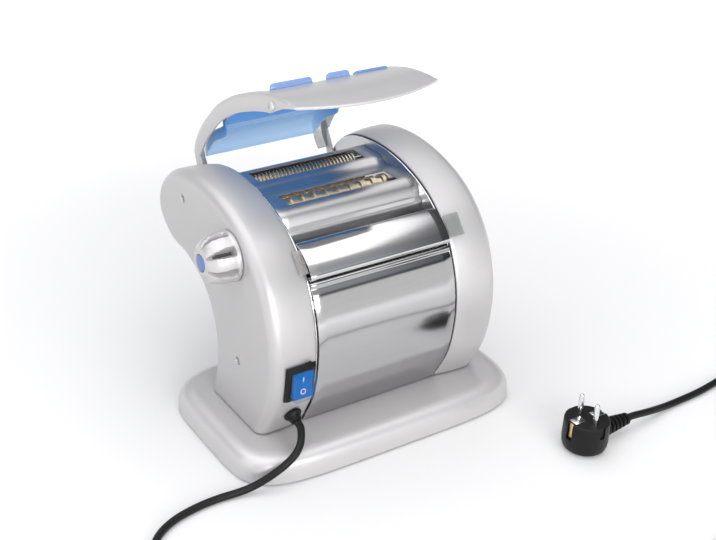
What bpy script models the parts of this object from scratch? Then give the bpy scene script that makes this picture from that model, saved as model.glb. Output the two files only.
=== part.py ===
"""Electric pasta maker: base, two side casings, roller and cutter pairs, gear train, lid, switch and cord.

Frame: +X to the right along the rollers, +Y to the back, +Z up, in metres.
The origin lies under the middle of the whole outline, base and open lid, on the surface that the feet stand on.
The dimensions below are measured from the middle of the base, which lies FRAME_SHIFT in front of the origin.
"""

import math

import bmesh
import bpy
from mathutils import Matrix, Vector

# Clearances shared by all pieces
GAP = 0.0003
RUNNING_GAP = 0.0003
CUT_OVERRUN = 0.002

# From the middle of the base to the middle of the outline, base and open lid
FRAME_SHIFT = 0.0402

# Base
BASE_LENGTH = 0.322
BASE_DEPTH = 0.196
BASE_HEIGHT = 0.027
BASE_SKIRT_LIFT = 0.002
BASE_SHOULDER = 0.018
BASE_WALL = 0.0025
BASE_CORNER_POWER = 5.2
BASE_OUTLINE_POINTS = 36
BASE_COVER_THICKNESS = 0.0025
BASE_COVER_MARGIN = 0.0003
FOOT_RADIUS = 0.010
FOOT_HEIGHT = 0.0025
FOOT_STEM_RADIUS = 0.003
FOOT_STEM_HEIGHT = 0.0035
FOOT_INSET_X = 0.043
FOOT_INSET_Y = 0.031
FOOT_SPACING_X = BASE_LENGTH - 2 * FOOT_INSET_X
FOOT_SPACING_Y = BASE_DEPTH - 2 * FOOT_INSET_Y

# Side casings and the head's side outline
SIDE_GAP = 0.160
CASING_WIDTH = 0.048
CASING_WALL = 0.0022
CASING_ROLL = 0.011
CASING_ROLL_STEPS = 3
RIM_DROP = 0.004
CROWN_WIDTH = 0.030
HEAD_DEPTH = 0.236
HEAD_REACH = 0.074
HEAD_RISE = 0.218
HEAD_SHARES = (
    (0.114, 0.0),
    (0.030, 0.183),
    (0.000, 0.390),
    (0.021, 0.573),
    (0.097, 0.752),
    (0.237, 0.894),
    (0.432, 0.977),
    (0.644, 1.000),
    (0.843, 0.959),
    (0.975, 0.844),
    (0.992, 0.702),
    (0.881, 0.596),
    (0.729, 0.569),
    (0.585, 0.491),
    (0.500, 0.344),
    (0.492, 0.174),
    (0.534, 0.0),
)
OUTLINE_STEPS = 2

# Steel side plates between the casings
PLATE_THICKNESS = 0.0015
PLATE_OFFSET = 0.0006
PLATE_INSET = 0.0006

# Smooth rollers
ROLLER_RADIUS = 0.0155
ROLLER_LENGTH = 0.144
ROLLER_SIDES = 24
SHAFT_RADIUS = 0.005
FRONT_ROLLER_Y = -0.0335
FRONT_ROLLER_Z = 0.1745
ROLLER_PAIR_TILT = math.radians(7.0)
NIP_WIDEST = 0.0023
NIP_FINEST = 0.0003

# Cutter pairs
CUTTER_RADIUS = 0.0105
CUTTER_CORE_RADIUS = 0.0085
CUTTER_SPACING = 0.020
CUTTER_SHAFT_RADIUS = 0.004
CUTTER_WIDTH = 0.120
FINE_PITCH = 0.004
WIDE_PITCH = 0.013
RING_SIDE_GAP = 0.0003
FINE_SIDES = 6
WIDE_SIDES = 8
WIDE_PAIR_Y = 0.023
WIDE_PAIR_Z = 0.216
FINE_PAIR_Y = 0.080
FINE_PAIR_Z = 0.218

# Gears, all of one module
MODULE = 0.002
TIP_SHARE = 0.60
ROOT_SHARE = 1.15
TOOTH_ROOT_SHARE = 0.29
TOOTH_TIP_SHARE = 0.12
ROLLER_TEETH = 16
CUTTER_TEETH = 10
SMALL_IDLER_TEETH = 8
UPPER_IDLER_TEETH = 19
LOWER_IDLER_TEETH = 36
PINION_TEETH = 12
GEAR_WIDTH = 0.006
GEAR_PLANE_GAP = 0.001
FIRST_PLANE = 0.0045
STUB_RADIUS = 0.0025
BORE_SIDES = 10
SMALL_IDLER_ANGLE = math.radians(-54.0)
BRACKET_GAP = 0.0008
POST_RADIUS = 0.0035
BRACKET_POSTS = ((0.038, 0.166), (0.028, 0.100), (-0.051, 0.110))
BRACKET_CORNERS = (
    (-0.051, 0.110, -1, -1),
    (0.028, 0.100, 1, -1),
    (0.038, 0.166, 1, 1),
    (-0.002, 0.196, 1, 1),
    (-0.002, 0.196, -2, 1),
    (-0.051, 0.110, -1, 1),
)

# Slide blocks that carry the rear roller
BLOCK_HEIGHT = 0.015
BLOCK_LENGTH = 0.018
BLOCK_THICKNESS = 0.0055

# Motor and gearbox
MOTOR_Y = -0.002
MOTOR_Z = 0.084
MOTOR_RADIUS = 0.029
MOTOR_LENGTH = 0.088
MOTOR_COLLAR = 0.012
GEARBOX_WIDTH = 0.024
GEARBOX_SIZE = 0.052
PINION_SHAFT_RADIUS = 0.004

# Sheet metal: top cover, guide plate, front panel, rear chute
SHEET = 0.0012
SHEET_END_GAP = 0.0024
COVER_Z = 0.2295
COVER_BACK_RISE = 0.0015
RIDGE_Y = -0.004
RIDGE_Z = 0.212
FEED_LIP_Z = 0.199
SLOT_WIDTH = 0.024
SLOT_LENGTH = 0.123
FEED_FRONT_Y = -0.024
FEED_BACK_Y = -0.0085
EAR_REACH = 0.0084
EAR_HEIGHT = 0.007
EAR_THICKNESS = 0.0016
PANEL_INSET = 0.0026
PANEL_TOP_Z = 0.1805

# Tie rods, combs and scraper
ROD_RADIUS = 0.004
COMB_THICKNESS = 0.0012
COMB_TOOTH_GAP = 0.0006
COMB_HEIGHT = 0.011

# Lid
HINGE_Y = 0.151
HINGE_Z = 0.191
HINGE_PIN_RADIUS = 0.003
LID_REACH = 0.227
LID_SIDE_GAP = 0.0028
LID_SKIN = 0.0022
LID_ARM = 0.010
LID_FLANGE = 0.016
LID_EAR_RADIUS = 0.0075
LID_LIP = 0.017
WINDOW_SKIN = 0.0016
WINDOW_DEPTH = 0.0030
WINDOW_LEDGE = 0.0060
LID_ARC_SHARES = (
    (-0.762, 0.648),
    (-0.670, 0.651),
    (-0.581, 0.643),
    (-0.485, 0.621),
    (-0.379, 0.586),
    (-0.278, 0.546),
    (-0.203, 0.507),
    (-0.110, 0.449),
    (-0.031, 0.379),
    (0.044, 0.300),
    (0.097, 0.220),
    (0.115, 0.163),
    (0.094, 0.106),
    (0.058, 0.062),
)
FLANGE_SHARES = (0.02, 0.40, 1.0, 1.0, 1.0, 1.0, 1.0, 1.0, 1.0, 1.0, 1.0, 0.9, 0.6, 0.3)
PLATE_STEPS = 3
BORDER_STEPS = 2
TAB_HEIGHT = 0.006
TAB_SPANS = ((-0.061, -0.014), (0.003, 0.028))

# Knob and its shaft
KNOB_Y = 0.003
KNOB_Z = 0.198
KNOB_RADIUS = 0.0245
KNOB_LENGTH = 0.0310
KNOB_DISC = 0.006
KNOB_LOBES = 8
KNOB_LOBE_DEPTH = 0.0042
KNOB_SHAFT_RADIUS = 0.004
KNOB_BUTTON_RADIUS = 0.0080
KNOB_BUTTON_DEPTH = 0.006
KNOB_BUTTON_TRAVEL = 0.0015
KNOB_SOCKET = 0.012
CAM_RADIUS = 0.0075
CAM_OFFSET = 0.0012
CAM_WIDTH = 0.005

# Switch and cord gland, on the front of the left casing
SWITCH_X = -0.0995
SWITCH_Z = 0.095
SWITCH_WIDTH = 0.032
SWITCH_HEIGHT = 0.040
SWITCH_FLANGE = 0.0045
SWITCH_DEPTH = 0.014
SWITCH_SKIRT_MARGIN = 0.003
ROCKER_WIDTH = 0.020
ROCKER_HALF_HEIGHT = 0.0130
ROCKER_RISE = 0.0050
ROCKER_TILT = math.radians(7.0)
COVER_WALL = 0.0010
COVER_RISE = 0.0085
GLAND_Z = 0.053
GLAND_FLANGE_RADIUS = 0.0085
GLAND_NECK_RADIUS = 0.0062
GLAND_LENGTH = 0.010

# Cord and plug
CORD_RADIUS = 0.0036
CORD_STEP = 0.026
CORD_POINTS = (
    (-0.1018, -0.0800, 0.0447),
    (-0.1040, -0.0852, 0.0412),
    (-0.1092, -0.0908, 0.0370),
    (-0.1168, -0.0946, 0.0322),
    (-0.1262, -0.0958, 0.0268),
    (-0.1362, -0.0946, 0.0206),
    (-0.1466, -0.0916, 0.0138),
    (-0.1578, -0.0882, 0.0080),
    (-0.1710, -0.0850, 0.0046),
    (-0.1900, -0.0828, 0.0037),
    (-0.2120, -0.0840, 0.0037),
    (-0.2360, -0.0893, 0.0037),
    (-0.2560, -0.0998, 0.0037),
    (-0.2700, -0.1160, 0.0037),
    (-0.2790, -0.1400, 0.0037),
    (-0.2840, -0.1750, 0.0037),
    (-0.2850, -0.2150, 0.0037),
    (-0.2850, -0.2550, 0.0037),
    (-0.2820, -0.2950, 0.0037),
    (-0.2700, -0.3280, 0.0037),
    (-0.2460, -0.3490, 0.0037),
    (-0.2150, -0.3520, 0.0037),
    (-0.1880, -0.3370, 0.0037),
    (-0.1740, -0.3080, 0.0037),
    (-0.1660, -0.2720, 0.0037),
    (-0.1510, -0.2400, 0.0037),
    (-0.1240, -0.2270, 0.0037),
    (-0.0970, -0.2400, 0.0037),
    (-0.0800, -0.2700, 0.0037),
    (-0.0640, -0.3050, 0.0037),
    (-0.0400, -0.3330, 0.0037),
    (-0.0050, -0.3480, 0.0037),
    (0.0400, -0.3560, 0.0037),
    (0.0850, -0.3600, 0.0037),
    (0.1250, -0.3610, 0.0037),
    (0.1600, -0.3590, 0.0037),
    (0.1950, -0.3430, 0.0037),
    (0.2300, -0.3130, 0.0037),
    (0.2700, -0.2770, 0.0037),
    (0.3150, -0.2370, 0.0037),
    (0.3480, -0.2110, 0.0037),
    (0.3690, -0.2015, 0.0037),
    (0.3775, -0.1880, 0.0037),
    (0.3730, -0.1770, 0.0037),
    (0.3600, -0.1738, 0.0037),
    (0.3430, -0.1762, 0.0037),
    (0.3200, -0.1788, 0.0037),
    (0.2950, -0.1800, 0.0038),
    (0.2700, -0.1815, 0.0052),
    (0.2450, -0.1845, 0.0098),
)
PLUG_X = 0.157
PLUG_Y = -0.186
PLUG_RADIUS = 0.0225
PLUG_HEIGHT = 0.034
PLUG_FACE_RADIUS = 0.0212
PLUG_PIN_RADIUS = 0.0026
PLUG_PIN_LENGTH = 0.021
PLUG_PIN_SPACING = 0.021
PLUG_PIN_SEAT = 0.006
PLUG_EXIT_Z = 0.014
RELIEF_LENGTH = 0.034
RELIEF_RADIUS = 0.0075
RELIEF_RIBS = 3
EARTH_WIDTH = 0.005
EARTH_THICKNESS = 0.001
EARTH_DEPTH = 0.016

PARTS = None
CUTTERS = None

# Local X to +Y, local Y to +Z and local Z to +X, for outlines drawn from the side
SIDE_AXES = Matrix(((0, 0, 1, 0), (1, 0, 0, 0), (0, 1, 0, 0), (0, 0, 0, 1)))


def clear_scene():
    for obj in list(bpy.data.objects):
        bpy.data.objects.remove(obj, do_unlink=True)


def new_collection(name):
    collection = bpy.data.collections.new(name)
    bpy.context.scene.collection.children.link(collection)
    return collection


def material(name, colour, roughness, metallic, alpha=1.0):
    made = bpy.data.materials.new(name)
    made.use_nodes = True
    shader = made.node_tree.nodes["Principled BSDF"]
    shader.inputs["Base Color"].default_value = (*colour, 1.0)
    shader.inputs["Roughness"].default_value = roughness
    shader.inputs["Metallic"].default_value = metallic
    shader.inputs["Alpha"].default_value = alpha
    made.diffuse_color = (*colour, alpha)
    return made


def place(name, data, finish, matrix=None):
    obj = bpy.data.objects.new(name, data)
    data.materials.append(finish)
    PARTS.objects.link(obj)
    if matrix is not None:
        obj.matrix_world = matrix
    return obj


def mesh_of(name, points, faces):
    mesh = bpy.data.meshes.new(name)
    mesh.from_pydata(points, [], faces)
    return mesh


def shade(obj, angle=math.radians(35.0)):
    obj.data.shade_smooth()
    obj.data.set_sharp_from_angle(angle=angle)


def solidify(obj, thickness, offset=-1.0):
    shell = obj.modifiers.new("shell", "SOLIDIFY")
    shell.thickness = thickness
    shell.offset = offset
    shell.use_even_offset = True
    return shell


def cut(obj, cutter, operation="DIFFERENCE"):
    cutter.hide_render = True
    cutter.display_type = "WIRE"
    for collection in list(cutter.users_collection):
        collection.objects.unlink(cutter)
    CUTTERS.objects.link(cutter)
    boolean = obj.modifiers.new(cutter.name, "BOOLEAN")
    boolean.operation = operation
    boolean.object = cutter
    boolean.solver = "EXACT"


def turned(name, profile, centre, finish, sides, axes=None):
    """A turned piece. Its profile is (distance along the axis, radius), rising along the axis."""
    points = [(radius, 0.0, along) for along, radius in reversed(profile)]
    edges = [(i, i + 1) for i in range(len(points) - 1)]
    if profile[0][1] > 0:
        edges.append((len(points) - 1, 0))
    mesh = bpy.data.meshes.new(name)
    mesh.from_pydata(points, edges, [])
    base = Matrix.Rotation(math.pi / 2, 4, "Y") if axes is None else axes
    obj = place(name, mesh, finish, Matrix.Translation(centre) @ base)
    screw = obj.modifiers.new("turn", "SCREW")
    screw.steps = sides
    screw.render_steps = sides
    screw.use_merge_vertices = True
    screw.merge_threshold = 0.00001
    return obj


def extruded(name, outline, depth, matrix, finish, holes=()):
    """A flat outline with holes, as thick as depth about its own plane, made a mesh with welded caps."""
    curve = bpy.data.curves.new(name, "CURVE")
    curve.dimensions = "2D"
    curve.fill_mode = "BOTH"
    curve.extrude = depth / 2
    for points in (outline, *holes):
        spline = curve.splines.new("POLY")
        spline.points.add(len(points) - 1)
        for point, (u, v) in zip(spline.points, points):
            point.co = (u, v, 0.0, 1.0)
        spline.use_cyclic_u = True
    guide = bpy.data.objects.new(name + "_outline", curve)
    bpy.context.scene.collection.objects.link(guide)
    bpy.context.view_layer.update()
    graph = bpy.context.evaluated_depsgraph_get()
    mesh = bpy.data.meshes.new_from_object(guide.evaluated_get(graph))
    bpy.data.objects.remove(guide, do_unlink=True)
    mesh.name = name
    mesh.materials.clear()
    welded = bmesh.new()
    welded.from_mesh(mesh)
    bmesh.ops.remove_doubles(welded, verts=welded.verts, dist=0.000005)
    bmesh.ops.recalc_face_normals(welded, faces=welded.faces)
    welded.to_mesh(mesh)
    welded.free()
    return place(name, mesh, finish, matrix)


def box(name, size, matrix, finish):
    made = bmesh.new()
    bmesh.ops.create_cube(made, size=1.0)
    bmesh.ops.scale(made, vec=size, verts=made.verts)
    mesh = bpy.data.meshes.new(name)
    made.to_mesh(mesh)
    made.free()
    return place(name, mesh, finish, matrix)


def rod(name, radius, low, high, y, z, finish, sides=BORE_SIDES):
    """A plain cylinder along X from low to high."""
    profile = [(low, 0.0), (low, radius), (high, radius), (high, 0.0)]
    return turned(name, profile, (0.0, y, z), finish, sides)


def circle(radius, sides, y=0.0, z=0.0):
    steps = [2 * math.pi * i / sides for i in range(sides)]
    return [(y + radius * math.cos(a), z + radius * math.sin(a)) for a in steps]


def smooth(points, steps):
    """Points on a Catmull-Rom curve through the given ones."""
    found = []
    for i in range(len(points) - 1):
        here = Vector(points[i])
        there = Vector(points[i + 1])
        before = Vector(points[i - 1]) if i > 0 else here * 2 - there
        after = Vector(points[i + 2]) if i + 2 < len(points) else there * 2 - here
        for k in range(steps):
            t = k / steps
            bend = (before * 2 - here * 5 + there * 4 - after) * t * t
            twist = (here * 3 - before - there * 3 + after) * t ** 3
            found.append((here * 2 + (there - before) * t + bend + twist) / 2)
    found.append(Vector(points[-1]))
    return found


def inset(points, amount):
    """The outline moved inwards, to the right of its direction. Its two feet stay level."""
    moved = []
    last = len(points) - 1
    for i, point in enumerate(points):
        along = (points[min(i + 1, last)] - points[max(i - 1, 0)]).normalized()
        inward = Vector((along.y, -along.x))
        if i in (0, last):
            inward = Vector((math.copysign(1.0, inward.x), 0.0))
        moved.append(point + inward * amount)
    return moved


def head_outline():
    foot = BASE_HEIGHT + GAP
    keys = [(share_y * HEAD_DEPTH - HEAD_REACH, foot + share_z * HEAD_RISE) for share_y, share_z in HEAD_SHARES]
    return smooth(keys, OUTLINE_STEPS)


def front_at(outline, z):
    """The point of the head's front at height z, with its outward normal and its upward direction."""
    for low, high in zip(outline, outline[1:]):
        if low.y <= z <= high.y:
            share = (z - low.y) / (high.y - low.y)
            up = (high - low).normalized()
            return low.lerp(high, share), Vector((-up.y, up.x)), up
    return outline[0], Vector((-1.0, 0.0)), Vector((0.0, 1.0))


def front_matrix(outline, x, z, lift):
    """A frame on the head's front: local X to the right, local Y up along it, local Z out of it."""
    point, out, up = front_at(outline, z)
    spot = point + out * lift
    columns = (
        (1.0, 0.0, 0.0, x),
        (0.0, up.x, out.x, spot.x),
        (0.0, up.y, out.y, spot.y),
        (0.0, 0.0, 0.0, 1.0),
    )
    return Matrix(columns)


def superellipse(length, depth, z):
    points = []
    power = 2 / BASE_CORNER_POWER
    for i in range(BASE_OUTLINE_POINTS):
        a = 2 * math.pi * (i + 0.5) / BASE_OUTLINE_POINTS
        c = math.cos(a)
        s = math.sin(a)
        x = math.copysign(abs(c) ** power, c) * length / 2
        y = math.copysign(abs(s) ** power, s) * depth / 2
        points.append((x, y, z))
    return points


def loft(rings, close_first=False, close_last=False, ring_closed=True):
    """Points and faces of a skin over rings of equal count."""
    points = [point for ring in rings for point in ring]
    count = len(rings[0])
    faces = []
    spans = count if ring_closed else count - 1
    for r in range(len(rings) - 1):
        for i in range(spans):
            j = (i + 1) % count
            faces.append((r * count + i, r * count + j, (r + 1) * count + j, (r + 1) * count + i))
    if close_first:
        faces.append(tuple(reversed(range(count))))
    if close_last:
        start = (len(rings) - 1) * count
        faces.append(tuple(range(start, start + count)))
    return points, faces


def make_base(finish, black, rubber):
    steps = (
        (BASE_SKIRT_LIFT, 0.0),
        (BASE_HEIGHT * 0.40, BASE_SHOULDER * 0.05),
        (BASE_HEIGHT * 0.67, BASE_SHOULDER * 0.20),
        (BASE_HEIGHT * 0.85, BASE_SHOULDER * 0.42),
        (BASE_HEIGHT * 0.95, BASE_SHOULDER * 0.68),
        (BASE_HEIGHT, BASE_SHOULDER),
    )
    rings = [superellipse(BASE_LENGTH - 2 * d, BASE_DEPTH - 2 * d, z) for z, d in steps]
    points, faces = loft(rings, close_last=True)
    shell = place("base_shell", mesh_of("base_shell", points, faces), finish)
    solidify(shell, BASE_WALL)
    shade(shell)
    margin = BASE_WALL + BASE_COVER_MARGIN + BASE_SHOULDER * 0.036
    ring = superellipse(BASE_LENGTH - 2 * margin, BASE_DEPTH - 2 * margin, 0.0)
    outline = [(x, y) for x, y, _ in ring]
    spots = [(sx * FOOT_SPACING_X / 2, sy * FOOT_SPACING_Y / 2) for sx in (-1, 1) for sy in (-1, 1)]
    holes = [circle(FOOT_STEM_RADIUS + GAP, BORE_SIDES, x, y) for x, y in spots]
    middle = FOOT_HEIGHT + GAP + BASE_COVER_THICKNESS / 2
    extruded("base_cover", outline, BASE_COVER_THICKNESS, Matrix.Translation((0, 0, middle)), black, holes)
    foot = [
        (0.0, 0.0),
        (0.0, FOOT_RADIUS * 0.85),
        (FOOT_HEIGHT * 0.3, FOOT_RADIUS),
        (FOOT_HEIGHT, FOOT_RADIUS),
        (FOOT_HEIGHT, FOOT_STEM_RADIUS),
        (FOOT_HEIGHT + FOOT_STEM_HEIGHT, FOOT_STEM_RADIUS),
        (FOOT_HEIGHT + FOOT_STEM_HEIGHT, 0.0),
    ]
    for number, (x, y) in enumerate(spots, 1):
        turned(f"foot_{number}", foot, (x, y, 0.0), rubber, 12, Matrix.Identity(4))


def casing_rings(outline, side):
    inner = SIDE_GAP / 2
    outer = inner + CASING_WIDTH
    stations = [(inner, RIM_DROP), (inner + CROWN_WIDTH * 0.35, RIM_DROP * 0.4), (inner + CROWN_WIDTH, 0.0)]
    for k in range(CASING_ROLL_STEPS + 1):
        turn = math.pi / 2 * k / CASING_ROLL_STEPS
        stations.append((outer - CASING_ROLL * (1 - math.sin(turn)), CASING_ROLL * (1 - math.cos(turn))))
    if abs(stations[2][0] - stations[3][0]) < GAP:
        stations.pop(2)
    return [[(side * x, p.x, p.y) for p in inset(outline, d)] for x, d in stations]


def make_casing(name, outline, side, finish):
    rings = casing_rings(outline, side)
    points, faces = loft(rings, close_last=True, ring_closed=False)
    if side > 0:
        faces = [tuple(reversed(face)) for face in faces]
    casing = place(name, mesh_of(name, points, faces), finish)
    solidify(casing, CASING_WALL)
    shade(casing)
    return casing


def plate_edge(outline):
    return inset(outline, RIM_DROP + PLATE_INSET)


def plate_centre():
    return SIDE_GAP / 2 - PLATE_OFFSET - PLATE_THICKNESS / 2


def plate_face():
    return SIDE_GAP / 2 - PLATE_OFFSET - PLATE_THICKNESS


def sheet_half():
    return plate_face() - GAP


def mesh_point(first, first_radius, second, second_radius, side):
    """Where a gear meshes with two others: the crossing of two circles, to the right of first-second if side is 1."""
    line = second - first
    span = line.length
    along = (span ** 2 + first_radius ** 2 - second_radius ** 2) / (2 * span)
    off = math.sqrt(max(first_radius ** 2 - along ** 2, 0.0))
    unit = line / span
    return first + unit * along + Vector((unit.y, -unit.x)) * off * side


def pitch_radius(teeth):
    return MODULE * teeth / 2


def centres():
    """Every axis along X, by the name of what turns on it."""
    front = Vector((FRONT_ROLLER_Y, FRONT_ROLLER_Z))
    apart = 2 * ROLLER_RADIUS + NIP_WIDEST
    rear = front + Vector((math.cos(ROLLER_PAIR_TILT), math.sin(ROLLER_PAIR_TILT))) * apart
    half = Vector((CUTTER_SPACING / 2, 0.0))
    wide = Vector((WIDE_PAIR_Y, WIDE_PAIR_Z))
    fine = Vector((FINE_PAIR_Y, FINE_PAIR_Z))
    motor = Vector((MOTOR_Y, MOTOR_Z))
    roller = pitch_radius(ROLLER_TEETH)
    cutter = pitch_radius(CUTTER_TEETH)
    small = pitch_radius(SMALL_IDLER_TEETH)
    upper = pitch_radius(UPPER_IDLER_TEETH)
    lower = pitch_radius(LOWER_IDLER_TEETH)
    pinion = pitch_radius(PINION_TEETH)
    found = {
        "front": front,
        "rear": rear,
        "wide_front": wide - half,
        "wide_rear": wide + half,
        "fine_front": fine - half,
        "fine_rear": fine + half,
        "motor": motor,
    }
    found["upper"] = mesh_point(front, roller + upper, found["wide_front"], cutter + upper, 1)
    found["lower"] = mesh_point(front, roller + lower, motor, pinion + lower, -1)
    reach = Vector((math.cos(SMALL_IDLER_ANGLE), math.sin(SMALL_IDLER_ANGLE))) * (cutter + small)
    found["small_front"] = found["wide_rear"] + reach
    found["small_rear"] = mesh_point(found["small_front"], 2 * small, found["fine_front"], small + cutter, 1)
    return found


def mesh_phase(first, first_teeth, first_phase, second, second_teeth):
    """The angle of a tooth of the second gear that puts it in mesh with the first."""
    line = second - first
    angle = math.atan2(line.y, line.x)
    first_radius = pitch_radius(first_teeth)
    second_radius = pitch_radius(second_teeth)
    slip = first_radius * (first_phase - angle) + math.pi * MODULE / 2
    return angle + math.pi - slip / second_radius


def gear_outline(teeth, phase):
    pitch = 2 * math.pi / teeth
    tip = pitch_radius(teeth) + MODULE * TIP_SHARE
    root = pitch_radius(teeth) - MODULE * ROOT_SHARE
    points = []
    for k in range(teeth):
        centre = phase + k * pitch
        for radius, share in (
            (root, -TOOTH_ROOT_SHARE),
            (tip, -TOOTH_TIP_SHARE),
            (tip, TOOTH_TIP_SHARE),
            (root, TOOTH_ROOT_SHARE),
        ):
            a = centre + share * pitch
            points.append((radius * math.cos(a), radius * math.sin(a)))
    return points


def gear(name, teeth, phase, centre, low, high, bore, finish):
    """A spur gear on an axis along X. With no bore it is solid, for a gear on its own stub."""
    holes = [circle(bore, BORE_SIDES)] if bore else []
    middle = Matrix.Translation(((low + high) / 2, centre.x, centre.y))
    return extruded(name, gear_outline(teeth, phase), high - low, middle @ SIDE_AXES, finish, holes)


def gear_planes():
    """The low and high ends of the two planes of gears, outside the right side plate."""
    first_low = SIDE_GAP / 2 + FIRST_PLANE
    first_high = first_low + GEAR_WIDTH
    second_low = first_high + GEAR_PLANE_GAP
    return first_low, first_high, second_low, second_low + GEAR_WIDTH


def make_gears(at, steel, nylon):
    first_low, first_high, second_low, second_high = gear_planes()
    bore = SHAFT_RADIUS + RUNNING_GAP
    cutter_bore = CUTTER_SHAFT_RADIUS + RUNNING_GAP
    front_phase = 0.0
    gear("front_roller_gear", ROLLER_TEETH, front_phase, at["front"], first_low, second_high, bore, steel)
    phase = mesh_phase(at["front"], ROLLER_TEETH, front_phase, at["rear"], ROLLER_TEETH)
    gear("rear_roller_gear", ROLLER_TEETH, phase, at["rear"], first_low, first_high, bore, steel)

    upper_phase = mesh_phase(at["front"], ROLLER_TEETH, front_phase, at["upper"], UPPER_IDLER_TEETH)
    wheel = gear("upper_idler_gear", UPPER_IDLER_TEETH, upper_phase, at["upper"], second_low, second_high, 0.0, nylon)
    stub = rod(
        "upper_idler_stub",
        STUB_RADIUS,
        (second_low + second_high) / 2,
        second_high + BRACKET_GAP + PLATE_THICKNESS,
        at["upper"].x,
        at["upper"].y,
        nylon,
    )
    cut(wheel, stub, "UNION")
    make_bracket(at["upper"], second_high + BRACKET_GAP, steel)
    wide_phase = mesh_phase(at["upper"], UPPER_IDLER_TEETH, upper_phase, at["wide_front"], CUTTER_TEETH)
    gear(
        "wide_front_gear", CUTTER_TEETH, wide_phase, at["wide_front"], first_low, second_high, cutter_bore, steel
    )
    rear_phase = mesh_phase(at["wide_front"], CUTTER_TEETH, wide_phase, at["wide_rear"], CUTTER_TEETH)
    gear("wide_rear_gear", CUTTER_TEETH, rear_phase, at["wide_rear"], first_low, first_high, cutter_bore, steel)
    small_phase = mesh_phase(at["wide_rear"], CUTTER_TEETH, rear_phase, at["small_front"], SMALL_IDLER_TEETH)
    idler("front_idler_gear", SMALL_IDLER_TEETH, small_phase, at["small_front"], first_low, first_high, nylon)
    next_phase = mesh_phase(
        at["small_front"], SMALL_IDLER_TEETH, small_phase, at["small_rear"], SMALL_IDLER_TEETH
    )
    idler("rear_idler_gear", SMALL_IDLER_TEETH, next_phase, at["small_rear"], first_low, first_high, nylon)
    fine_phase = mesh_phase(
        at["small_rear"], SMALL_IDLER_TEETH, next_phase, at["fine_front"], CUTTER_TEETH
    )
    gear("fine_front_gear", CUTTER_TEETH, fine_phase, at["fine_front"], first_low, first_high, cutter_bore, steel)
    last_phase = mesh_phase(at["fine_front"], CUTTER_TEETH, fine_phase, at["fine_rear"], CUTTER_TEETH)
    gear("fine_rear_gear", CUTTER_TEETH, last_phase, at["fine_rear"], first_low, first_high, cutter_bore, steel)

    lower_phase = mesh_phase(at["front"], ROLLER_TEETH, front_phase, at["lower"], LOWER_IDLER_TEETH)
    idler("lower_idler_gear", LOWER_IDLER_TEETH, lower_phase, at["lower"], second_low, second_high, nylon)
    pinion_phase = mesh_phase(at["lower"], LOWER_IDLER_TEETH, lower_phase, at["motor"], PINION_TEETH)
    pinion = gear("motor_pinion", PINION_TEETH, pinion_phase, at["motor"], second_low, second_high, 0.0, steel)
    shaft = rod(
        "motor_pinion_shaft",
        PINION_SHAFT_RADIUS,
        plate_face() - CUT_OVERRUN,
        second_low + GEAR_WIDTH / 2,
        at["motor"].x,
        at["motor"].y,
        steel,
    )
    cut(pinion, shaft, "UNION")


def make_bracket(bore_at, low, finish):
    """The plate outside the gears that holds the upper idler, on three posts from the side plate."""
    bore = circle(STUB_RADIUS + RUNNING_GAP, BORE_SIDES, *bore_at)
    edge = [(y + sy * POST_RADIUS * 1.6, z + sz * POST_RADIUS * 1.6) for y, z, sy, sz in BRACKET_CORNERS]
    matrix = Matrix.Translation((low + PLATE_THICKNESS / 2, 0, 0)) @ SIDE_AXES
    plate = extruded("gear_bracket", edge, PLATE_THICKNESS, matrix, finish, [bore])
    start = SIDE_GAP / 2 - PLATE_OFFSET + GAP
    for number, (y, z) in enumerate(BRACKET_POSTS, 1):
        post = rod(f"bracket_post_{number}", POST_RADIUS, start, low + PLATE_THICKNESS / 2, y, z, finish, 8)
        cut(plate, post, "UNION")


def idler(name, teeth, phase, centre, low, high, finish):
    """An idler gear in one piece with the stub that turns in the side plate."""
    wheel = gear(name, teeth, phase, centre, low, high, 0.0, finish)
    stub = rod(
        name + "_stub", STUB_RADIUS, plate_face() + GAP, (low + high) / 2, centre.x, centre.y, finish
    )
    cut(wheel, stub, "UNION")


def make_rollers(at, steel):
    first_low, first_high, _, second_high = gear_planes()
    half = ROLLER_LENGTH / 2
    left = -(SIDE_GAP / 2 + FIRST_PLANE)
    for name, key, right in (("front_roller", "front", second_high), ("rear_roller", "rear", first_high)):
        profile = [
            (left, 0.0),
            (left, SHAFT_RADIUS),
            (-half, SHAFT_RADIUS),
            (-half, ROLLER_RADIUS),
            (half, ROLLER_RADIUS),
            (half, SHAFT_RADIUS),
            (right, SHAFT_RADIUS),
            (right, 0.0),
        ]
        turned(name, profile, (0.0, at[key].x, at[key].y), steel, ROLLER_SIDES)


def cutter_profile(pitch, shift, left, right):
    """Shaft, core and square rings. Shift moves the rings by half a pitch, to mesh with the mating cutter."""
    half_ring = (pitch / 2 - RING_SIDE_GAP) / 2
    count = int(CUTTER_WIDTH / pitch + 0.5)
    count += 1 if shift and count % 2 else 0
    count -= 1 if not shift and count % 2 == 0 else 0
    span = (count - 1) * pitch / 2
    edge = span + half_ring
    profile = [(left, 0.0), (left, CUTTER_SHAFT_RADIUS), (-edge, CUTTER_SHAFT_RADIUS)]
    for k in range(count):
        middle = k * pitch - span
        profile += [(middle - half_ring, CUTTER_RADIUS), (middle + half_ring, CUTTER_RADIUS)]
        if k < count - 1:
            profile += [(middle + half_ring, CUTTER_CORE_RADIUS), (middle + pitch - half_ring, CUTTER_CORE_RADIUS)]
    profile += [(edge, CUTTER_SHAFT_RADIUS), (right, CUTTER_SHAFT_RADIUS), (right, 0.0)]
    return profile


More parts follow.
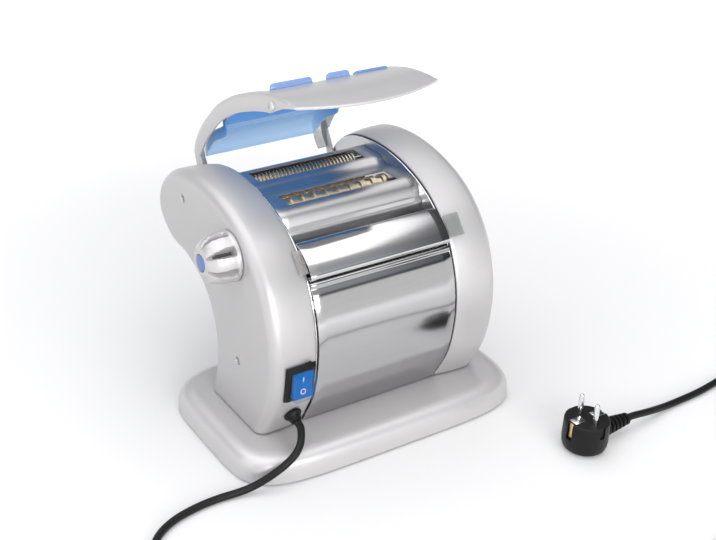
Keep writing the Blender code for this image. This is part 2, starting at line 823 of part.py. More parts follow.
def make_cutters(at, brass):
    _, first_high, _, second_high = gear_planes()
    left = -(SIDE_GAP / 2 + PLATE_OFFSET)
    for pitch, sides, names in (
        (WIDE_PITCH, WIDE_SIDES, (("wide_front", second_high), ("wide_rear", first_high))),
        (FINE_PITCH, FINE_SIDES, (("fine_front", first_high), ("fine_rear", first_high))),
    ):
        for shift, (key, right) in enumerate(names):
            profile = cutter_profile(pitch, bool(shift), left, right)
            turned(f"{key}_cutter", profile, (0.0, at[key].x, at[key].y), brass, sides)


def block_window(rear):
    """The slot of the side plates in which a slide block moves, as an outline."""
    tilt = ROLLER_PAIR_TILT
    travel = NIP_WIDEST - NIP_FINEST
    low = -(BLOCK_LENGTH / 2 + GAP + travel)
    high = BLOCK_LENGTH / 2 + GAP
    side = BLOCK_HEIGHT / 2 + GAP
    corners = ((low, -side), (high, -side), (high, side), (low, side))
    along = Vector((math.cos(tilt), math.sin(tilt)))
    across = Vector((-math.sin(tilt), math.cos(tilt)))
    return [tuple(rear + along * u + across * v) for u, v in corners]


def make_side_plates(outline, at, steel):
    edge = [tuple(p) for p in plate_edge(outline)]
    bores = [circle(SHAFT_RADIUS + RUNNING_GAP, BORE_SIDES, *at["front"])]
    for key in ("wide_front", "wide_rear", "fine_front", "fine_rear"):
        bores.append(circle(CUTTER_SHAFT_RADIUS + RUNNING_GAP, BORE_SIDES, *at[key]))
    bores.append(circle(HINGE_PIN_RADIUS + GAP, BORE_SIDES, HINGE_Y, HINGE_Z))
    bores.append(block_window(at["rear"]))
    left = bores + [circle(KNOB_SHAFT_RADIUS + RUNNING_GAP, BORE_SIDES, KNOB_Y, KNOB_Z)]
    right = bores + [circle(PINION_SHAFT_RADIUS + RUNNING_GAP, BORE_SIDES, *at["motor"])]
    for key in ("lower", "small_front", "small_rear"):
        right.append(circle(STUB_RADIUS + RUNNING_GAP, BORE_SIDES, *at[key]))
    for name, side, holes in (("left_side_plate", -1, left), ("right_side_plate", 1, right)):
        matrix = Matrix.Translation((side * plate_centre(), 0, 0)) @ SIDE_AXES
        extruded(name, edge, PLATE_THICKNESS, matrix, steel, holes)


def make_slide_blocks(at, steel):
    half = BLOCK_LENGTH / 2
    rise = BLOCK_HEIGHT / 2
    outline = [(-half, -rise), (half, -rise), (half, rise), (-half, rise)]
    tilt = Matrix.Rotation(ROLLER_PAIR_TILT, 4, "X")
    start = plate_face() - GAP
    for name, side in (("left_slide_block", -1), ("right_slide_block", 1)):
        middle = side * (start + BLOCK_THICKNESS / 2)
        matrix = Matrix.Translation((middle, at["rear"].x, at["rear"].y)) @ tilt @ SIDE_AXES
        extruded(
            name, outline, BLOCK_THICKNESS, matrix, steel, [circle(SHAFT_RADIUS + RUNNING_GAP, BORE_SIDES)]
        )


def sheet(name, section, half_width, finish, thickness=SHEET, offset=-1.0):
    """A bent sheet: its section in Y and Z, run along X and thickened."""
    rings = [[(side * half_width, y, z) for y, z in section] for side in (-1, 1)]
    points, faces = loft(rings, ring_closed=False)
    obj = place(name, mesh_of(name, points, faces), finish)
    solidify(obj, thickness, offset)
    return obj


def slot_cutter(name, centre_y, low_z, high_z, finish):
    size = (SLOT_LENGTH, SLOT_WIDTH, high_z - low_z)
    return box(name, size, Matrix.Translation((0, centre_y, (low_z + high_z) / 2)), finish)


def make_cover(at, chrome):
    wide = (at["wide_front"].x + at["wide_rear"].x) / 2
    fine = (at["fine_front"].x + at["fine_rear"].x) / 2
    margin = SLOT_WIDTH / 2
    back = COVER_Z + COVER_BACK_RISE
    rise = COVER_Z - RIDGE_Z
    section = [
        (fine + margin * 1.85, back - rise * 0.75),
        (fine + margin * 1.70, back - rise * 0.25),
        (fine + margin * 1.45, back),
        (fine - margin * 1.20, back),
        (fine - margin * 1.75, COVER_Z - rise * 0.12),
        (wide + margin * 1.75, COVER_Z - rise * 0.12),
        (wide + margin * 1.20, COVER_Z),
        (wide - margin * 1.15, COVER_Z),
        (wide - margin * 1.75, COVER_Z - rise * 0.28),
        (RIDGE_Y + SHEET * 2, COVER_Z - rise * 0.62),
        (RIDGE_Y, RIDGE_Z),
        (FEED_BACK_Y, RIDGE_Z - SHEET * 3),
        (FEED_BACK_Y, FEED_LIP_Z),
    ]
    cover = sheet("top_cover", section, sheet_half(), chrome)
    for name, middle, top in (("wide_slot", wide, COVER_Z), ("fine_slot", fine, back)):
        cut(cover, slot_cutter(name, middle, top - rise * 0.3, top + CUT_OVERRUN, chrome))


def make_guide_plate(outline, chrome):
    """The bright convex plate in front of the feed slot, with an ear over each casing's edge."""
    point, out, up = front_at(outline, FRONT_ROLLER_Z + ROLLER_RADIUS * 0.84)
    edge = point + out * (EAR_THICKNESS * 0.9)
    foot_z = edge.y
    top = FRONT_ROLLER_Z + ROLLER_RADIUS * 2.22
    section = [
        (FEED_FRONT_Y, FRONT_ROLLER_Z + ROLLER_RADIUS * 1.15),
        (FEED_FRONT_Y, top - SHEET * 2),
        (FEED_FRONT_Y - SHEET * 2, top),
        (FEED_FRONT_Y + (edge.x - FEED_FRONT_Y) * 0.36, top - (top - foot_z) * 0.13),
        (FEED_FRONT_Y + (edge.x - FEED_FRONT_Y) * 0.68, top - (top - foot_z) * 0.44),
        (FEED_FRONT_Y + (edge.x - FEED_FRONT_Y) * 0.90, top - (top - foot_z) * 0.76),
        (edge.x, foot_z),
        (edge.x + SHEET * 1.5, foot_z - SHEET * 2.5),
        (edge.x + SHEET * 4.5, foot_z - SHEET * 1.8),
    ]
    plate = sheet("guide_plate", section, sheet_half(), chrome, offset=1.0)
    tilt = math.atan2(up.x, up.y)
    ears = box(
        "guide_ears",
        (2 * (sheet_half() + EAR_REACH), EAR_THICKNESS, EAR_HEIGHT),
        Matrix.Translation((0, edge.x - EAR_THICKNESS * 0.10, foot_z)) @ Matrix.Rotation(-tilt, 4, "X"),
        chrome,
    )
    cut(plate, ears, "UNION")


def make_front_panel(outline, chrome):
    line = [p for p in inset(outline, PANEL_INSET) if p.y < PANEL_TOP_Z and p.x < FRONT_ROLLER_Y]
    point, out, up = front_at(outline, PANEL_TOP_Z)
    top = point - out * PANEL_INSET
    section = [tuple(p) for p in line]
    section += [
        tuple(top),
        (top.x + SHEET * 0.8, top.y + SHEET * 0.9),
        (top.x + SHEET * 2.2, top.y + SHEET * 0.9),
    ]
    panel = sheet("front_panel", section, sheet_half(), chrome, offset=1.0)
    shade(panel)
    return panel


def make_chute(outline, chrome):
    """The chute under the rollers, which ends as the neck's rear panel."""
    edge = inset(outline, RIM_DROP + PLATE_INSET)
    rear = [p for p in edge if p.x > 0 and p.y < MOTOR_Z + MOTOR_RADIUS * 0.9]
    start = Vector((FRONT_ROLLER_Y - ROLLER_RADIUS * 1.1, FRONT_ROLLER_Z - ROLLER_RADIUS * 1.5))
    end = Vector(rear[0])
    section = [tuple(start)]
    for share, drop in ((0.25, 0.14), (0.60, 0.47), (0.90, 0.86)):
        section.append((start.x + (end.x - start.x) * share, start.y + (end.y - start.y) * drop))
    section += [tuple(p) for p in rear]
    chute = sheet("rear_chute", section, sheet_half(), chrome, offset=1.0)
    shade(chute)
    return chute


def make_comb(name, pitch, shifted, centre, finish):
    """A comb whose teeth stand in the grooves of the pair's front cutter and strip the pasta off."""
    half_gap = pitch / 4 + RING_SIDE_GAP / 2 - COMB_TOOTH_GAP
    count = int(CUTTER_WIDTH / pitch + 0.5)
    count -= 1 if count % 2 == 0 and not shifted else 0
    top = COMB_HEIGHT
    bar = COMB_HEIGHT * 0.45
    half = sheet_half()
    points = [(-half, 0.0), (half, 0.0), (half, bar)]
    for k in reversed(range(count - 1)):
        middle = (k + 0.5) * pitch - (count - 1) * pitch / 2
        points += [(middle + half_gap, bar), (middle + half_gap, top), (middle - half_gap, top), (middle - half_gap, bar)]
    points.append((-half, bar))
    lean = math.radians(-25.0)
    low = CUTTER_CORE_RADIUS + GAP * 2 + COMB_HEIGHT
    foot = Vector((math.sin(lean), -math.cos(lean))) * low
    matrix = Matrix.Translation((0, centre.x + foot.x, centre.y + foot.y))
    upright = Matrix(((1, 0, 0, 0), (0, 0, -1, 0), (0, 1, 0, 0), (0, 0, 0, 1)))
    extruded(name, points, COMB_THICKNESS, matrix @ Matrix.Rotation(lean, 4, "X") @ upright, finish)


def make_scraper(at, finish):
    """A scraper bar under the front roller."""
    gap = GAP * 2
    section = [(0.0, 0.0), (0.0, ROLLER_RADIUS * 0.30), (-ROLLER_RADIUS * 0.12, ROLLER_RADIUS * 0.45)]
    y = at["front"].x - ROLLER_RADIUS * 0.25
    z = at["front"].y - ROLLER_RADIUS * 1.45 - gap
    sheet("roller_scraper", [(y + u, z + v) for u, v in section], sheet_half(), finish, offset=1.0)


def make_motor(at, steel, cast):
    y = at["motor"].x
    z = at["motor"].y
    inner = plate_face() - GAP
    size = (GEARBOX_WIDTH, GEARBOX_SIZE, GEARBOX_SIZE)
    gearbox = box("gearbox", size, Matrix.Translation((inner - GEARBOX_WIDTH / 2, y, z)), cast)
    bevel = gearbox.modifiers.new("edges", "BEVEL")
    bevel.width = GEARBOX_SIZE * 0.1
    bevel.segments = 2
    bore = rod(
        "gearbox_bore",
        PINION_SHAFT_RADIUS + RUNNING_GAP,
        inner - GEARBOX_WIDTH / 4,
        inner + CUT_OVERRUN,
        y,
        z,
        cast,
    )
    cut(gearbox, bore)
    high = inner - GEARBOX_WIDTH - GAP
    low = high - MOTOR_LENGTH
    collar = MOTOR_RADIUS * 0.4
    profile = [
        (low - MOTOR_COLLAR, 0.0),
        (low - MOTOR_COLLAR, collar),
        (low, collar),
        (low, MOTOR_RADIUS * 0.92),
        (low + MOTOR_RADIUS * 0.15, MOTOR_RADIUS),
        (high - MOTOR_RADIUS * 0.15, MOTOR_RADIUS),
        (high, MOTOR_RADIUS * 0.92),
        (high, 0.0),
    ]
    turned("motor", profile, (0.0, y, z), steel, 18)


def make_tie_rods(at, steel):
    half = sheet_half()
    low_z = BASE_HEIGHT + ROD_RADIUS * 5
    back = at["motor"].x + MOTOR_RADIUS * 0.9
    front = at["motor"].x - MOTOR_RADIUS * 1.4
    rod("front_tie_rod", ROD_RADIUS, -half, half, front, low_z, steel)
    rod("rear_tie_rod", ROD_RADIUS, -half, half, back, low_z, steel)


def knob_ring(x, radius, depth):
    points = []
    count = KNOB_LOBES * 5
    for i in range(count):
        a = 2 * math.pi * i / count
        wave = abs(math.sin(a * KNOB_LOBES / 2))
        r = radius - depth * (1 - wave) ** 1.5
        points.append((x, KNOB_Y + r * math.cos(a), KNOB_Z + r * math.sin(a)))
    return points


def make_knob(silver, blue, steel):
    wall = -(SIDE_GAP / 2 + CASING_WIDTH)
    back = wall - GAP
    disc = back - KNOB_DISC
    face = back - KNOB_LENGTH
    body = KNOB_RADIUS - KNOB_LOBE_DEPTH * 0.35
    socket = KNOB_SHAFT_RADIUS + GAP
    well = KNOB_BUTTON_RADIUS + GAP
    slope = KNOB_LENGTH - KNOB_DISC
    rings = [
        knob_ring(back - KNOB_SOCKET, socket, 0.0),
        knob_ring(back, socket, 0.0),
        knob_ring(back, KNOB_RADIUS * 0.97, 0.0),
        knob_ring(disc + KNOB_DISC * 0.3, KNOB_RADIUS, 0.0),
        knob_ring(disc, KNOB_RADIUS * 0.96, 0.0),
        knob_ring(disc - slope * 0.06, body, KNOB_LOBE_DEPTH),
        knob_ring(disc - slope * 0.60, body * 0.93, KNOB_LOBE_DEPTH),
        knob_ring(disc - slope * 0.88, body * 0.80, KNOB_LOBE_DEPTH * 0.7),
        knob_ring(face, body * 0.62, KNOB_LOBE_DEPTH * 0.2),
        knob_ring(face, well, 0.0),
        knob_ring(face + KNOB_BUTTON_DEPTH + KNOB_BUTTON_TRAVEL, well, 0.0),
    ]
    points, faces = loft(rings, close_first=True, close_last=True)
    faces = [tuple(reversed(face)) for face in faces]
    knob = place("thickness_knob", mesh_of("thickness_knob", points, faces), silver)
    shade(knob, math.radians(40.0))
    button = [
        (face - GAP * 3, 0.0),
        (face - GAP * 3, KNOB_BUTTON_RADIUS * 0.8),
        (face, KNOB_BUTTON_RADIUS),
        (face + KNOB_BUTTON_DEPTH, KNOB_BUTTON_RADIUS),
        (face + KNOB_BUTTON_DEPTH, 0.0),
    ]
    turned("knob_button", button, (0.0, KNOB_Y, KNOB_Z), blue, 20)
    inner = -plate_face()
    cam_start = inner - PLATE_THICKNESS - PLATE_OFFSET * 3
    shaft = rod("adjuster_shaft", KNOB_SHAFT_RADIUS, back - KNOB_SOCKET + GAP, inner, KNOB_Y, KNOB_Z, steel)
    cam = rod(
        "adjuster_cam", CAM_RADIUS, cam_start - CAM_WIDTH, cam_start, KNOB_Y, KNOB_Z + CAM_OFFSET, steel, 16
    )
    cut(shaft, cam, "UNION")


def rounded_box(name, size, finish, matrix, radius):
    made = box(name, size, matrix, finish)
    bevel = made.modifiers.new("edges", "BEVEL")
    bevel.width = radius
    bevel.segments = 2
    return made


def make_switch(outline, casing, black, blue, clear):
    """A rocker switch with a clear cover, set into the front of the left casing."""
    frame = front_matrix(outline, SWITCH_X, SWITCH_Z, GAP)
    opening_width = ROCKER_WIDTH + 4 * GAP
    swing = ROCKER_HALF_HEIGHT * math.cos(ROCKER_TILT) + ROCKER_RISE * 1.5 * math.sin(ROCKER_TILT)
    opening_height = 2 * (swing + 3 * GAP)
    skirt_width = SWITCH_WIDTH - 2 * SWITCH_SKIRT_MARGIN
    skirt_height = SWITCH_HEIGHT - 2 * SWITCH_SKIRT_MARGIN
    flange = Matrix.Translation((0, 0, SWITCH_FLANGE / 2))
    bezel = rounded_box(
        "switch_bezel", (SWITCH_WIDTH, SWITCH_HEIGHT, SWITCH_FLANGE), black, frame @ flange, SWITCH_FLANGE * 0.3
    )
    skirt_size = (skirt_width, skirt_height, SWITCH_DEPTH + SWITCH_FLANGE / 2)
    skirt_middle = Matrix.Translation((0, 0, SWITCH_FLANGE / 2 - skirt_size[2] / 2))
    cut(bezel, box("switch_skirt", skirt_size, frame @ skirt_middle, black), "UNION")
    well = SWITCH_FLANGE + SWITCH_DEPTH * 0.7
    well_size = (opening_width, opening_height, well + CUT_OVERRUN)
    well_middle = Matrix.Translation((0, 0, SWITCH_FLANGE + CUT_OVERRUN - well_size[2] / 2))
    cut(bezel, box("switch_well", well_size, frame @ well_middle, black))
    hole_size = (skirt_width + 2 * GAP, skirt_height + 2 * GAP, SWITCH_DEPTH * 2)
    cut(casing, box("switch_hole", hole_size, frame, black))

    pivot = SWITCH_FLANGE - ROCKER_RISE * 0.6
    belly = -SWITCH_DEPTH * 0.45
    section = [
        (-ROCKER_HALF_HEIGHT * 0.45, belly),
        (ROCKER_HALF_HEIGHT * 0.45, belly),
        (ROCKER_HALF_HEIGHT, -ROCKER_RISE * 0.2),
        (ROCKER_HALF_HEIGHT, ROCKER_RISE * 1.5),
        (0.0, ROCKER_RISE),
        (-ROCKER_HALF_HEIGHT, ROCKER_RISE * 1.5),
        (-ROCKER_HALF_HEIGHT, -ROCKER_RISE * 0.2),
    ]
    lean = Matrix.Translation((0, 0, pivot)) @ Matrix.Rotation(-ROCKER_TILT, 4, "X")
    extruded("switch_rocker", section, ROCKER_WIDTH, frame @ lean @ SIDE_AXES, blue)

    cover_width = opening_width + 2 * COVER_WALL
    cover_height = opening_height + 2 * COVER_WALL
    rings = []
    for z, grow in (
        (SWITCH_FLANGE + GAP, 0.0),
        (SWITCH_FLANGE + COVER_RISE * 0.8, -COVER_WALL * 0.3),
        (SWITCH_FLANGE + COVER_RISE, -COVER_WALL),
    ):
        w = cover_width / 2 + grow
        h = cover_height / 2 + grow
        rings.append([(-w, -h, z), (w, -h, z), (w, h, z), (-w, h, z)])
    points, faces = loft(rings, close_last=True)
    cover = place("switch_cover", mesh_of("switch_cover", points, faces), clear, frame)
    solidify(cover, COVER_WALL * 0.9)


def make_gland(outline, casing, black):
    frame = front_matrix(outline, SWITCH_X, GLAND_Z, 0.0)
    bore = GLAND_NECK_RADIUS
    profile = [
        (-CASING_WALL * 2.5, 0.0),
        (-CASING_WALL * 2.5, bore),
        (GAP * 2, bore),
        (GAP * 2, GLAND_FLANGE_RADIUS),
        (GAP * 2 + GLAND_LENGTH * 0.25, GLAND_FLANGE_RADIUS),
        (GLAND_LENGTH * 0.45, bore),
        (GLAND_LENGTH, CORD_RADIUS * 1.35),
        (GLAND_LENGTH, 0.0),
    ]
    place_here = Matrix.Translation((0.0, 0.0, 0.0))
    gland = turned("cord_gland", profile, (0.0, 0.0, 0.0), black, 16, place_here)
    gland.matrix_world = frame
    hole = [
        (-CASING_WALL * 3, 0.0),
        (-CASING_WALL * 3, bore + GAP),
        (CASING_WALL * 2, bore + GAP),
        (CASING_WALL * 2, 0.0),
    ]
    cutter = turned("gland_hole", hole, (0.0, 0.0, 0.0), black, 16, place_here)
    cutter.matrix_world = frame
    cut(casing, cutter)
    start = frame @ Vector((0.0, 0.0, GLAND_LENGTH + GAP))
    out = frame.to_3x3() @ Vector((0.0, 0.0, 1.0))
    return start, out


def tube(name, points, radius, finish, resolution=2):
    curve = bpy.data.curves.new(name, "CURVE")
    curve.dimensions = "3D"
    curve.bevel_depth = radius
    curve.bevel_resolution = resolution
    curve.use_fill_caps = True
    spline = curve.splines.new("POLY")
    spline.points.add(len(points) - 1)
    for point, spot in zip(spline.points, points):
        point.co = (*spot, 1.0)
    return place(name, curve, finish)


def make_cord(start, out, black):
    """The free cord from the gland over the base's edge to the floor, and round in front to the plug."""
    straight = CORD_RADIUS * 2
    end_x = PLUG_X + PLUG_RADIUS + RELIEF_LENGTH + GAP
    route = [start, start + out * straight]
    route += [Vector(p) for p in CORD_POINTS[1:]]
    route += [Vector((end_x + straight, PLUG_Y, PLUG_EXIT_Z)), Vector((end_x, PLUG_Y, PLUG_EXIT_Z))]
    dense = smooth(route, 12)
    kept = [dense[0]]
    run = 0.0
    for before, here in zip(dense, dense[1:]):
        run += (here - before).length
        if run >= CORD_STEP and (dense[-1] - here).length > CORD_STEP:
            kept.append(here)
            run = 0.0
    kept += [dense[-1] + Vector((straight, 0.0, 0.0)), dense[-1]]
    kept.insert(1, start + out * straight)
    length = sum((b - a).length for a, b in zip(dense, dense[1:]))
    print(f"cord: {length:.3f} m, {len(kept)} points")
    tube("cord", kept, CORD_RADIUS, black)


def make_plug(black, brass, steel):
    """An angled two-pin plug with side earth clips, lying on its back with its pins up."""
    face = PLUG_HEIGHT
    rings = []
    for z, radius, square in (
        (0.0, PLUG_RADIUS * 0.80, 1.0),
        (PLUG_HEIGHT * 0.10, PLUG_RADIUS * 0.96, 1.0),
        (PLUG_HEIGHT * 0.55, PLUG_RADIUS, 1.0),
        (PLUG_HEIGHT * 0.75, PLUG_FACE_RADIUS, 1.0),
        (face, PLUG_FACE_RADIUS * 0.97, 1.0),
    ):
        rings.append([(PLUG_X + u * square, PLUG_Y + v, z) for u, v in circle(radius, 18)])
    points, faces = loft(rings, close_first=True, close_last=True)
    body = place("plug_body", mesh_of("plug_body", points, faces), black)
    nose = PLUG_RADIUS * 0.62
    boss = turned(
        "plug_boss",
        [(0.0, 0.0), (0.0, nose), (PLUG_RADIUS * 1.0, RELIEF_RADIUS * 1.25), (PLUG_RADIUS * 1.0, 0.0)],
        (PLUG_X, PLUG_Y, PLUG_EXIT_Z),
        black,
        16,
    )
    cut(body, boss, "UNION")
    for side in (-1, 1):
        y = PLUG_Y + side * PLUG_PIN_SPACING / 2
        seat = [
            (face - PLUG_PIN_SEAT, 0.0),
            (face - PLUG_PIN_SEAT, PLUG_PIN_RADIUS + GAP),
            (face + CUT_OVERRUN, PLUG_PIN_RADIUS + GAP),
            (face + CUT_OVERRUN, 0.0),
        ]
        cut(body, turned(f"pin_seat_{side + 2}", seat, (PLUG_X, y, 0.0), black, 12, Matrix.Identity(4)))
        foot = face - PLUG_PIN_SEAT + GAP
        tip = face + PLUG_PIN_LENGTH
        pin = [
            (foot, 0.0),
            (foot, PLUG_PIN_RADIUS),
            (tip - PLUG_PIN_RADIUS * 0.6, PLUG_PIN_RADIUS),
            (tip, PLUG_PIN_RADIUS * 0.5),
            (tip, 0.0),
        ]
        name = "plug_pin_front" if side < 0 else "plug_pin_rear"
        turned(name, pin, (PLUG_X, y, 0.0), steel, 12, Matrix.Identity(4))
    for number, side in enumerate((-1, 1), 1):
        groove = (EARTH_THICKNESS * 3, EARTH_WIDTH + 2 * GAP, EARTH_DEPTH + 2 * GAP)
        edge = PLUG_X + side * (PLUG_FACE_RADIUS * 0.94)
        low = face - EARTH_DEPTH / 2 + GAP
        slot = box(f"earth_slot_{number}", groove, Matrix.Translation((edge, PLUG_Y, low)), black)
        cut(body, slot)
        clip_size = (EARTH_THICKNESS, EARTH_WIDTH, EARTH_DEPTH - GAP)
        inner = edge - side * (EARTH_THICKNESS - GAP)
        spot = Matrix.Translation((inner, PLUG_Y, face - EARTH_DEPTH / 2 - GAP / 2))
        box(f"plug_earth_clip_{number}", clip_size, spot, brass)
    start = PLUG_X + PLUG_RADIUS + GAP
    end = PLUG_X + PLUG_RADIUS + RELIEF_LENGTH
    relief = [(start, 0.0)]
    for k in range(RELIEF_RIBS * 2 + 1):
        share = k / (RELIEF_RIBS * 2)
        taper = RELIEF_RADIUS + (CORD_RADIUS * 1.25 - RELIEF_RADIUS) * share
        relief.append((start + (end - start) * share, taper if k % 2 == 0 else taper * 0.88))
    relief.append((end, 0.0))
    turned("plug_relief", relief, (0.0, PLUG_Y, PLUG_EXIT_Z), black, 12)


def lid_line():
    """The lid's outer line from its front corner to its hinge end, at rest, with the lid open."""
    return [Vector((HINGE_Y + u * LID_REACH, HINGE_Z + v * LID_REACH)) for u, v in LID_ARC_SHARES]


def lid_inward(line):
    """For each point of the lid's line the direction into the lid."""
    found = []
    last = len(line) - 1
    for i in range(len(line)):
        along = (line[min(i + 1, last)] - line[max(i - 1, 0)]).normalized()
        found.append(Vector((along.y, -along.x)))
    return found


def make_lid(silver, blue, steel):
    line = lid_line()
    inward = lid_inward(line)
    half = sheet_half() - LID_SIDE_GAP + GAP + LID_SKIN / 2
    arm = half - LID_ARM
    columns = [-half, -arm, -arm * 0.5, 0.0, arm * 0.5, arm, half]
    points = []
    index = {}
    for i, point in enumerate(line):
        depth = LID_FLANGE * FLANGE_SHARES[i]
        low = point + inward[i] * depth
        row = [(-half, low.x, low.y)]
        for x in columns:
            lip = LID_LIP * (1 - (x / half) ** 2) * max(0.0, 1 - i) if i < 1 else 0.0
            front = (line[0] - line[1]).normalized() * lip
            row.append((x, point.x + front.x, point.y + front.y))
        row.append((half, low.x, low.y))
        for k, spot in enumerate(row):
            index[i, k] = len(points)
            points.append(spot)
    faces = []
    last = len(line) - 1
    width = len(columns) + 1
    for i in range(last):
        for k in range(width):
            inner = 2 <= k <= width - 3
            if inner and PLATE_STEPS <= i < last - BORDER_STEPS:
                continue
            faces.append((index[i, k], index[i, k + 1], index[i + 1, k + 1], index[i + 1, k]))
    frame = place("lid_frame", mesh_of("lid_frame", points, faces), silver)
    solidify(frame, LID_SKIN, 0.0)
    shade(frame)
    make_hinge_ears(frame, line, half, silver, steel)
    make_window(line, inward, arm, blue)


def make_hinge_ears(frame, line, half, silver, steel):
    """The lid's two hinge ears, unions with its frame, and the pins that the side plates hold."""
    thick = LID_SKIN
    hinge = Vector((HINGE_Y, HINGE_Z))
    reach = line[-2] - hinge
    out = reach.normalized()
    side = Vector((-out.y, out.x))
    ear = [tuple(hinge + side * LID_EAR_RADIUS), tuple(hinge + (side - out) * LID_EAR_RADIUS * 0.7)]
    ear += [tuple(hinge - out * LID_EAR_RADIUS), tuple(hinge - (side + out) * LID_EAR_RADIUS * 0.7)]
    ear += [tuple(hinge - side * LID_EAR_RADIUS), tuple(line[-1] + out * LID_SKIN)]
    ear += [tuple(line[-3] + Vector((-LID_SKIN, 0.0))), tuple(line[-4] - out * LID_EAR_RADIUS)]
    for number, sign in enumerate((-1, 1), 1):
        matrix = Matrix.Translation((sign * half, 0, 0)) @ SIDE_AXES
        cut(frame, extruded(f"lid_ear_{number}", ear, thick, matrix, silver), "UNION")
        bore = rod(
            f"lid_bore_{number}",
            HINGE_PIN_RADIUS + RUNNING_GAP,
            sign * half - LID_SKIN * 2,
            sign * half + LID_SKIN * 2,
            HINGE_Y,
            HINGE_Z,
            silver,
        )
        cut(frame, bore)
    inner = half - LID_SKIN / 2 - GAP
    outer = SIDE_GAP / 2 + PLATE_OFFSET
    for name, low, high in (("left_hinge_pin", -outer, -inner), ("right_hinge_pin", inner, outer)):
        rod(name, HINGE_PIN_RADIUS, low, high, HINGE_Y, HINGE_Z, steel)


def make_window(line, inward, arm, blue):
    """The clear shell under the frame, with a ledge along it and two tabs over the plate's rear edge."""
    first = PLATE_STEPS - 1
    last = len(line) - 2 - BORDER_STEPS
    half = arm - GAP
    clear = LID_SKIN / 2 + GAP
    section = []
    for i in range(first, last + 2):
        depth = clear
        if i in (first, first + 1):
            depth += WINDOW_DEPTH
        if last - 2 <= i <= last:
            depth += WINDOW_LEDGE * 0.4
        section.append(line[i] + inward[i] * depth)
    middle = len(section) // 2
    step = inward[first + middle] * WINDOW_LEDGE
    section.insert(middle, section[middle] + step)
    inset_half = half - GAP
    rings = [[(side * inset_half, p.x, p.y) for p in section] for side in (-1, 1)]
    points, faces = loft(rings, ring_closed=False)
    window = place("lid_window", mesh_of("lid_window", points, faces), blue)
    solidify(window, WINDOW_SKIN, 1.0)


def main():
    global PARTS
    global CUTTERS
    clear_scene()
    PARTS = new_collection("electric_pasta_maker")
    CUTTERS = new_collection("cutters")
    silver = material("silver_paint", (0.62, 0.61, 0.61), 0.38, 0.55)
    chrome = material("polished_steel", (0.75, 0.75, 0.76), 0.10, 1.0)
    steel = material("machined_steel", (0.60, 0.60, 0.62), 0.30, 1.0)
    straw = material("straw_steel", (0.72, 0.62, 0.46), 0.28, 1.0)
    black = material("black_plastic", (0.02, 0.02, 0.02), 0.45, 0.0)
    rubber = material("black_rubber", (0.03, 0.03, 0.03), 0.75, 0.0)
    nylon = material("white_nylon", (0.82, 0.81, 0.76), 0.50, 0.0)
    blue = material("clear_blue", (0.16, 0.42, 0.85), 0.12, 0.0, 0.45)
    switch_blue = material("switch_blue", (0.02, 0.16, 0.60), 0.20, 0.0)
    clear = material("clear_plastic", (0.80, 0.88, 0.95), 0.08, 0.0, 0.30)
    cast = material("cast_zinc", (0.45, 0.45, 0.46), 0.45, 0.9)
    brass = material("brass", (0.78, 0.60, 0.30), 0.30, 1.0)

    outline = head_outline()
    at = centres()
    make_base(silver, black, rubber)
    left = make_casing("left_casing", outline, -1, silver)
    right = make_casing("right_casing", outline, 1, silver)
    make_side_plates(outline, at, steel)
    make_rollers(at, chrome)
    make_slide_blocks(at, steel)
    make_cutters(at, straw)
    make_gears(at, steel, nylon)
    make_cover(at, chrome)
    make_guide_plate(outline, chrome)
    panel = make_front_panel(outline, chrome)
    chute = make_chute(outline, chrome)
    make_comb("wide_comb", WIDE_PITCH, False, at["wide_front"], steel)
    make_comb("fine_comb", FINE_PITCH, False, at["fine_front"], steel)
    make_scraper(at, steel)
    make_motor(at, steel, cast)
    make_tie_rods(at, steel)
    make_knob(silver, switch_blue, steel)
    trim_size = (BASE_LENGTH, HEAD_DEPTH, BASE_HEIGHT)
    trim = box("foot_trim", trim_size, Matrix.Translation((0, 0, BASE_HEIGHT / 2 + GAP)), silver)
    for piece in (left, right, panel, chute):
        cut(piece, trim)
    knob_bore = rod(
        "knob_bore",
        KNOB_SHAFT_RADIUS + RUNNING_GAP,
        -(SIDE_GAP / 2 + CASING_WIDTH + CUT_OVERRUN),
        -(SIDE_GAP / 2 + CASING_WIDTH - CASING_WALL - CUT_OVERRUN),
        KNOB_Y,
        KNOB_Z,
        silver,
    )
    cut(left, knob_bore)
    make_switch(outline, left, black, switch_blue, clear)
    start, out = make_gland(outline, left, black)
    make_cord(start, out, black)
    make_plug(black, brass, steel)
    make_lid(silver, blue, steel)
    shift = Matrix.Translation((0.0, -FRAME_SHIFT, 0.0))
    bpy.context.view_layer.update()
    for obj in (*PARTS.objects, *CUTTERS.objects):
        obj.matrix_world = shift @ obj.matrix_world
    for key, spot in at.items():
        print(f"{key}: y {spot.x - FRAME_SHIFT:.5f}, z {spot.y:.5f}")
    frame = front_matrix(outline, SWITCH_X, SWITCH_Z, GAP)
    pivot = shift @ frame @ Vector((0.0, 0.0, SWITCH_FLANGE - ROCKER_RISE * 0.6))
    start = shift @ start
    print(f"rocker pivot: {pivot.x:.5f}, {pivot.y:.5f}, {pivot.z:.5f}")
    print(f"cord start: {start.x:.5f}, {start.y:.5f}, {start.z:.5f}; out {out.x:.4f}, {out.y:.4f}, {out.z:.4f}")


main()
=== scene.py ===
# %% [markdown]
# An electric pasta maker: two thick silver casings on a base, polished sheet between them, a lid with a
# clear blue shell that stands open, a lobed knob, a lit rocker switch and a mains lead. The mechanical
# solids are loaded first. They fix where everything is, and each visible piece is then given its real
# curves and finish around them. Lengths are in metres. X runs along the rollers to the right, Y to the
# back and Z up. The middle of the base lies at BASE_Y, and GAP is the play between two pieces that touch.

# %% Load the solids
import math

import bmesh
import bpy
from mathutils import Matrix, Vector


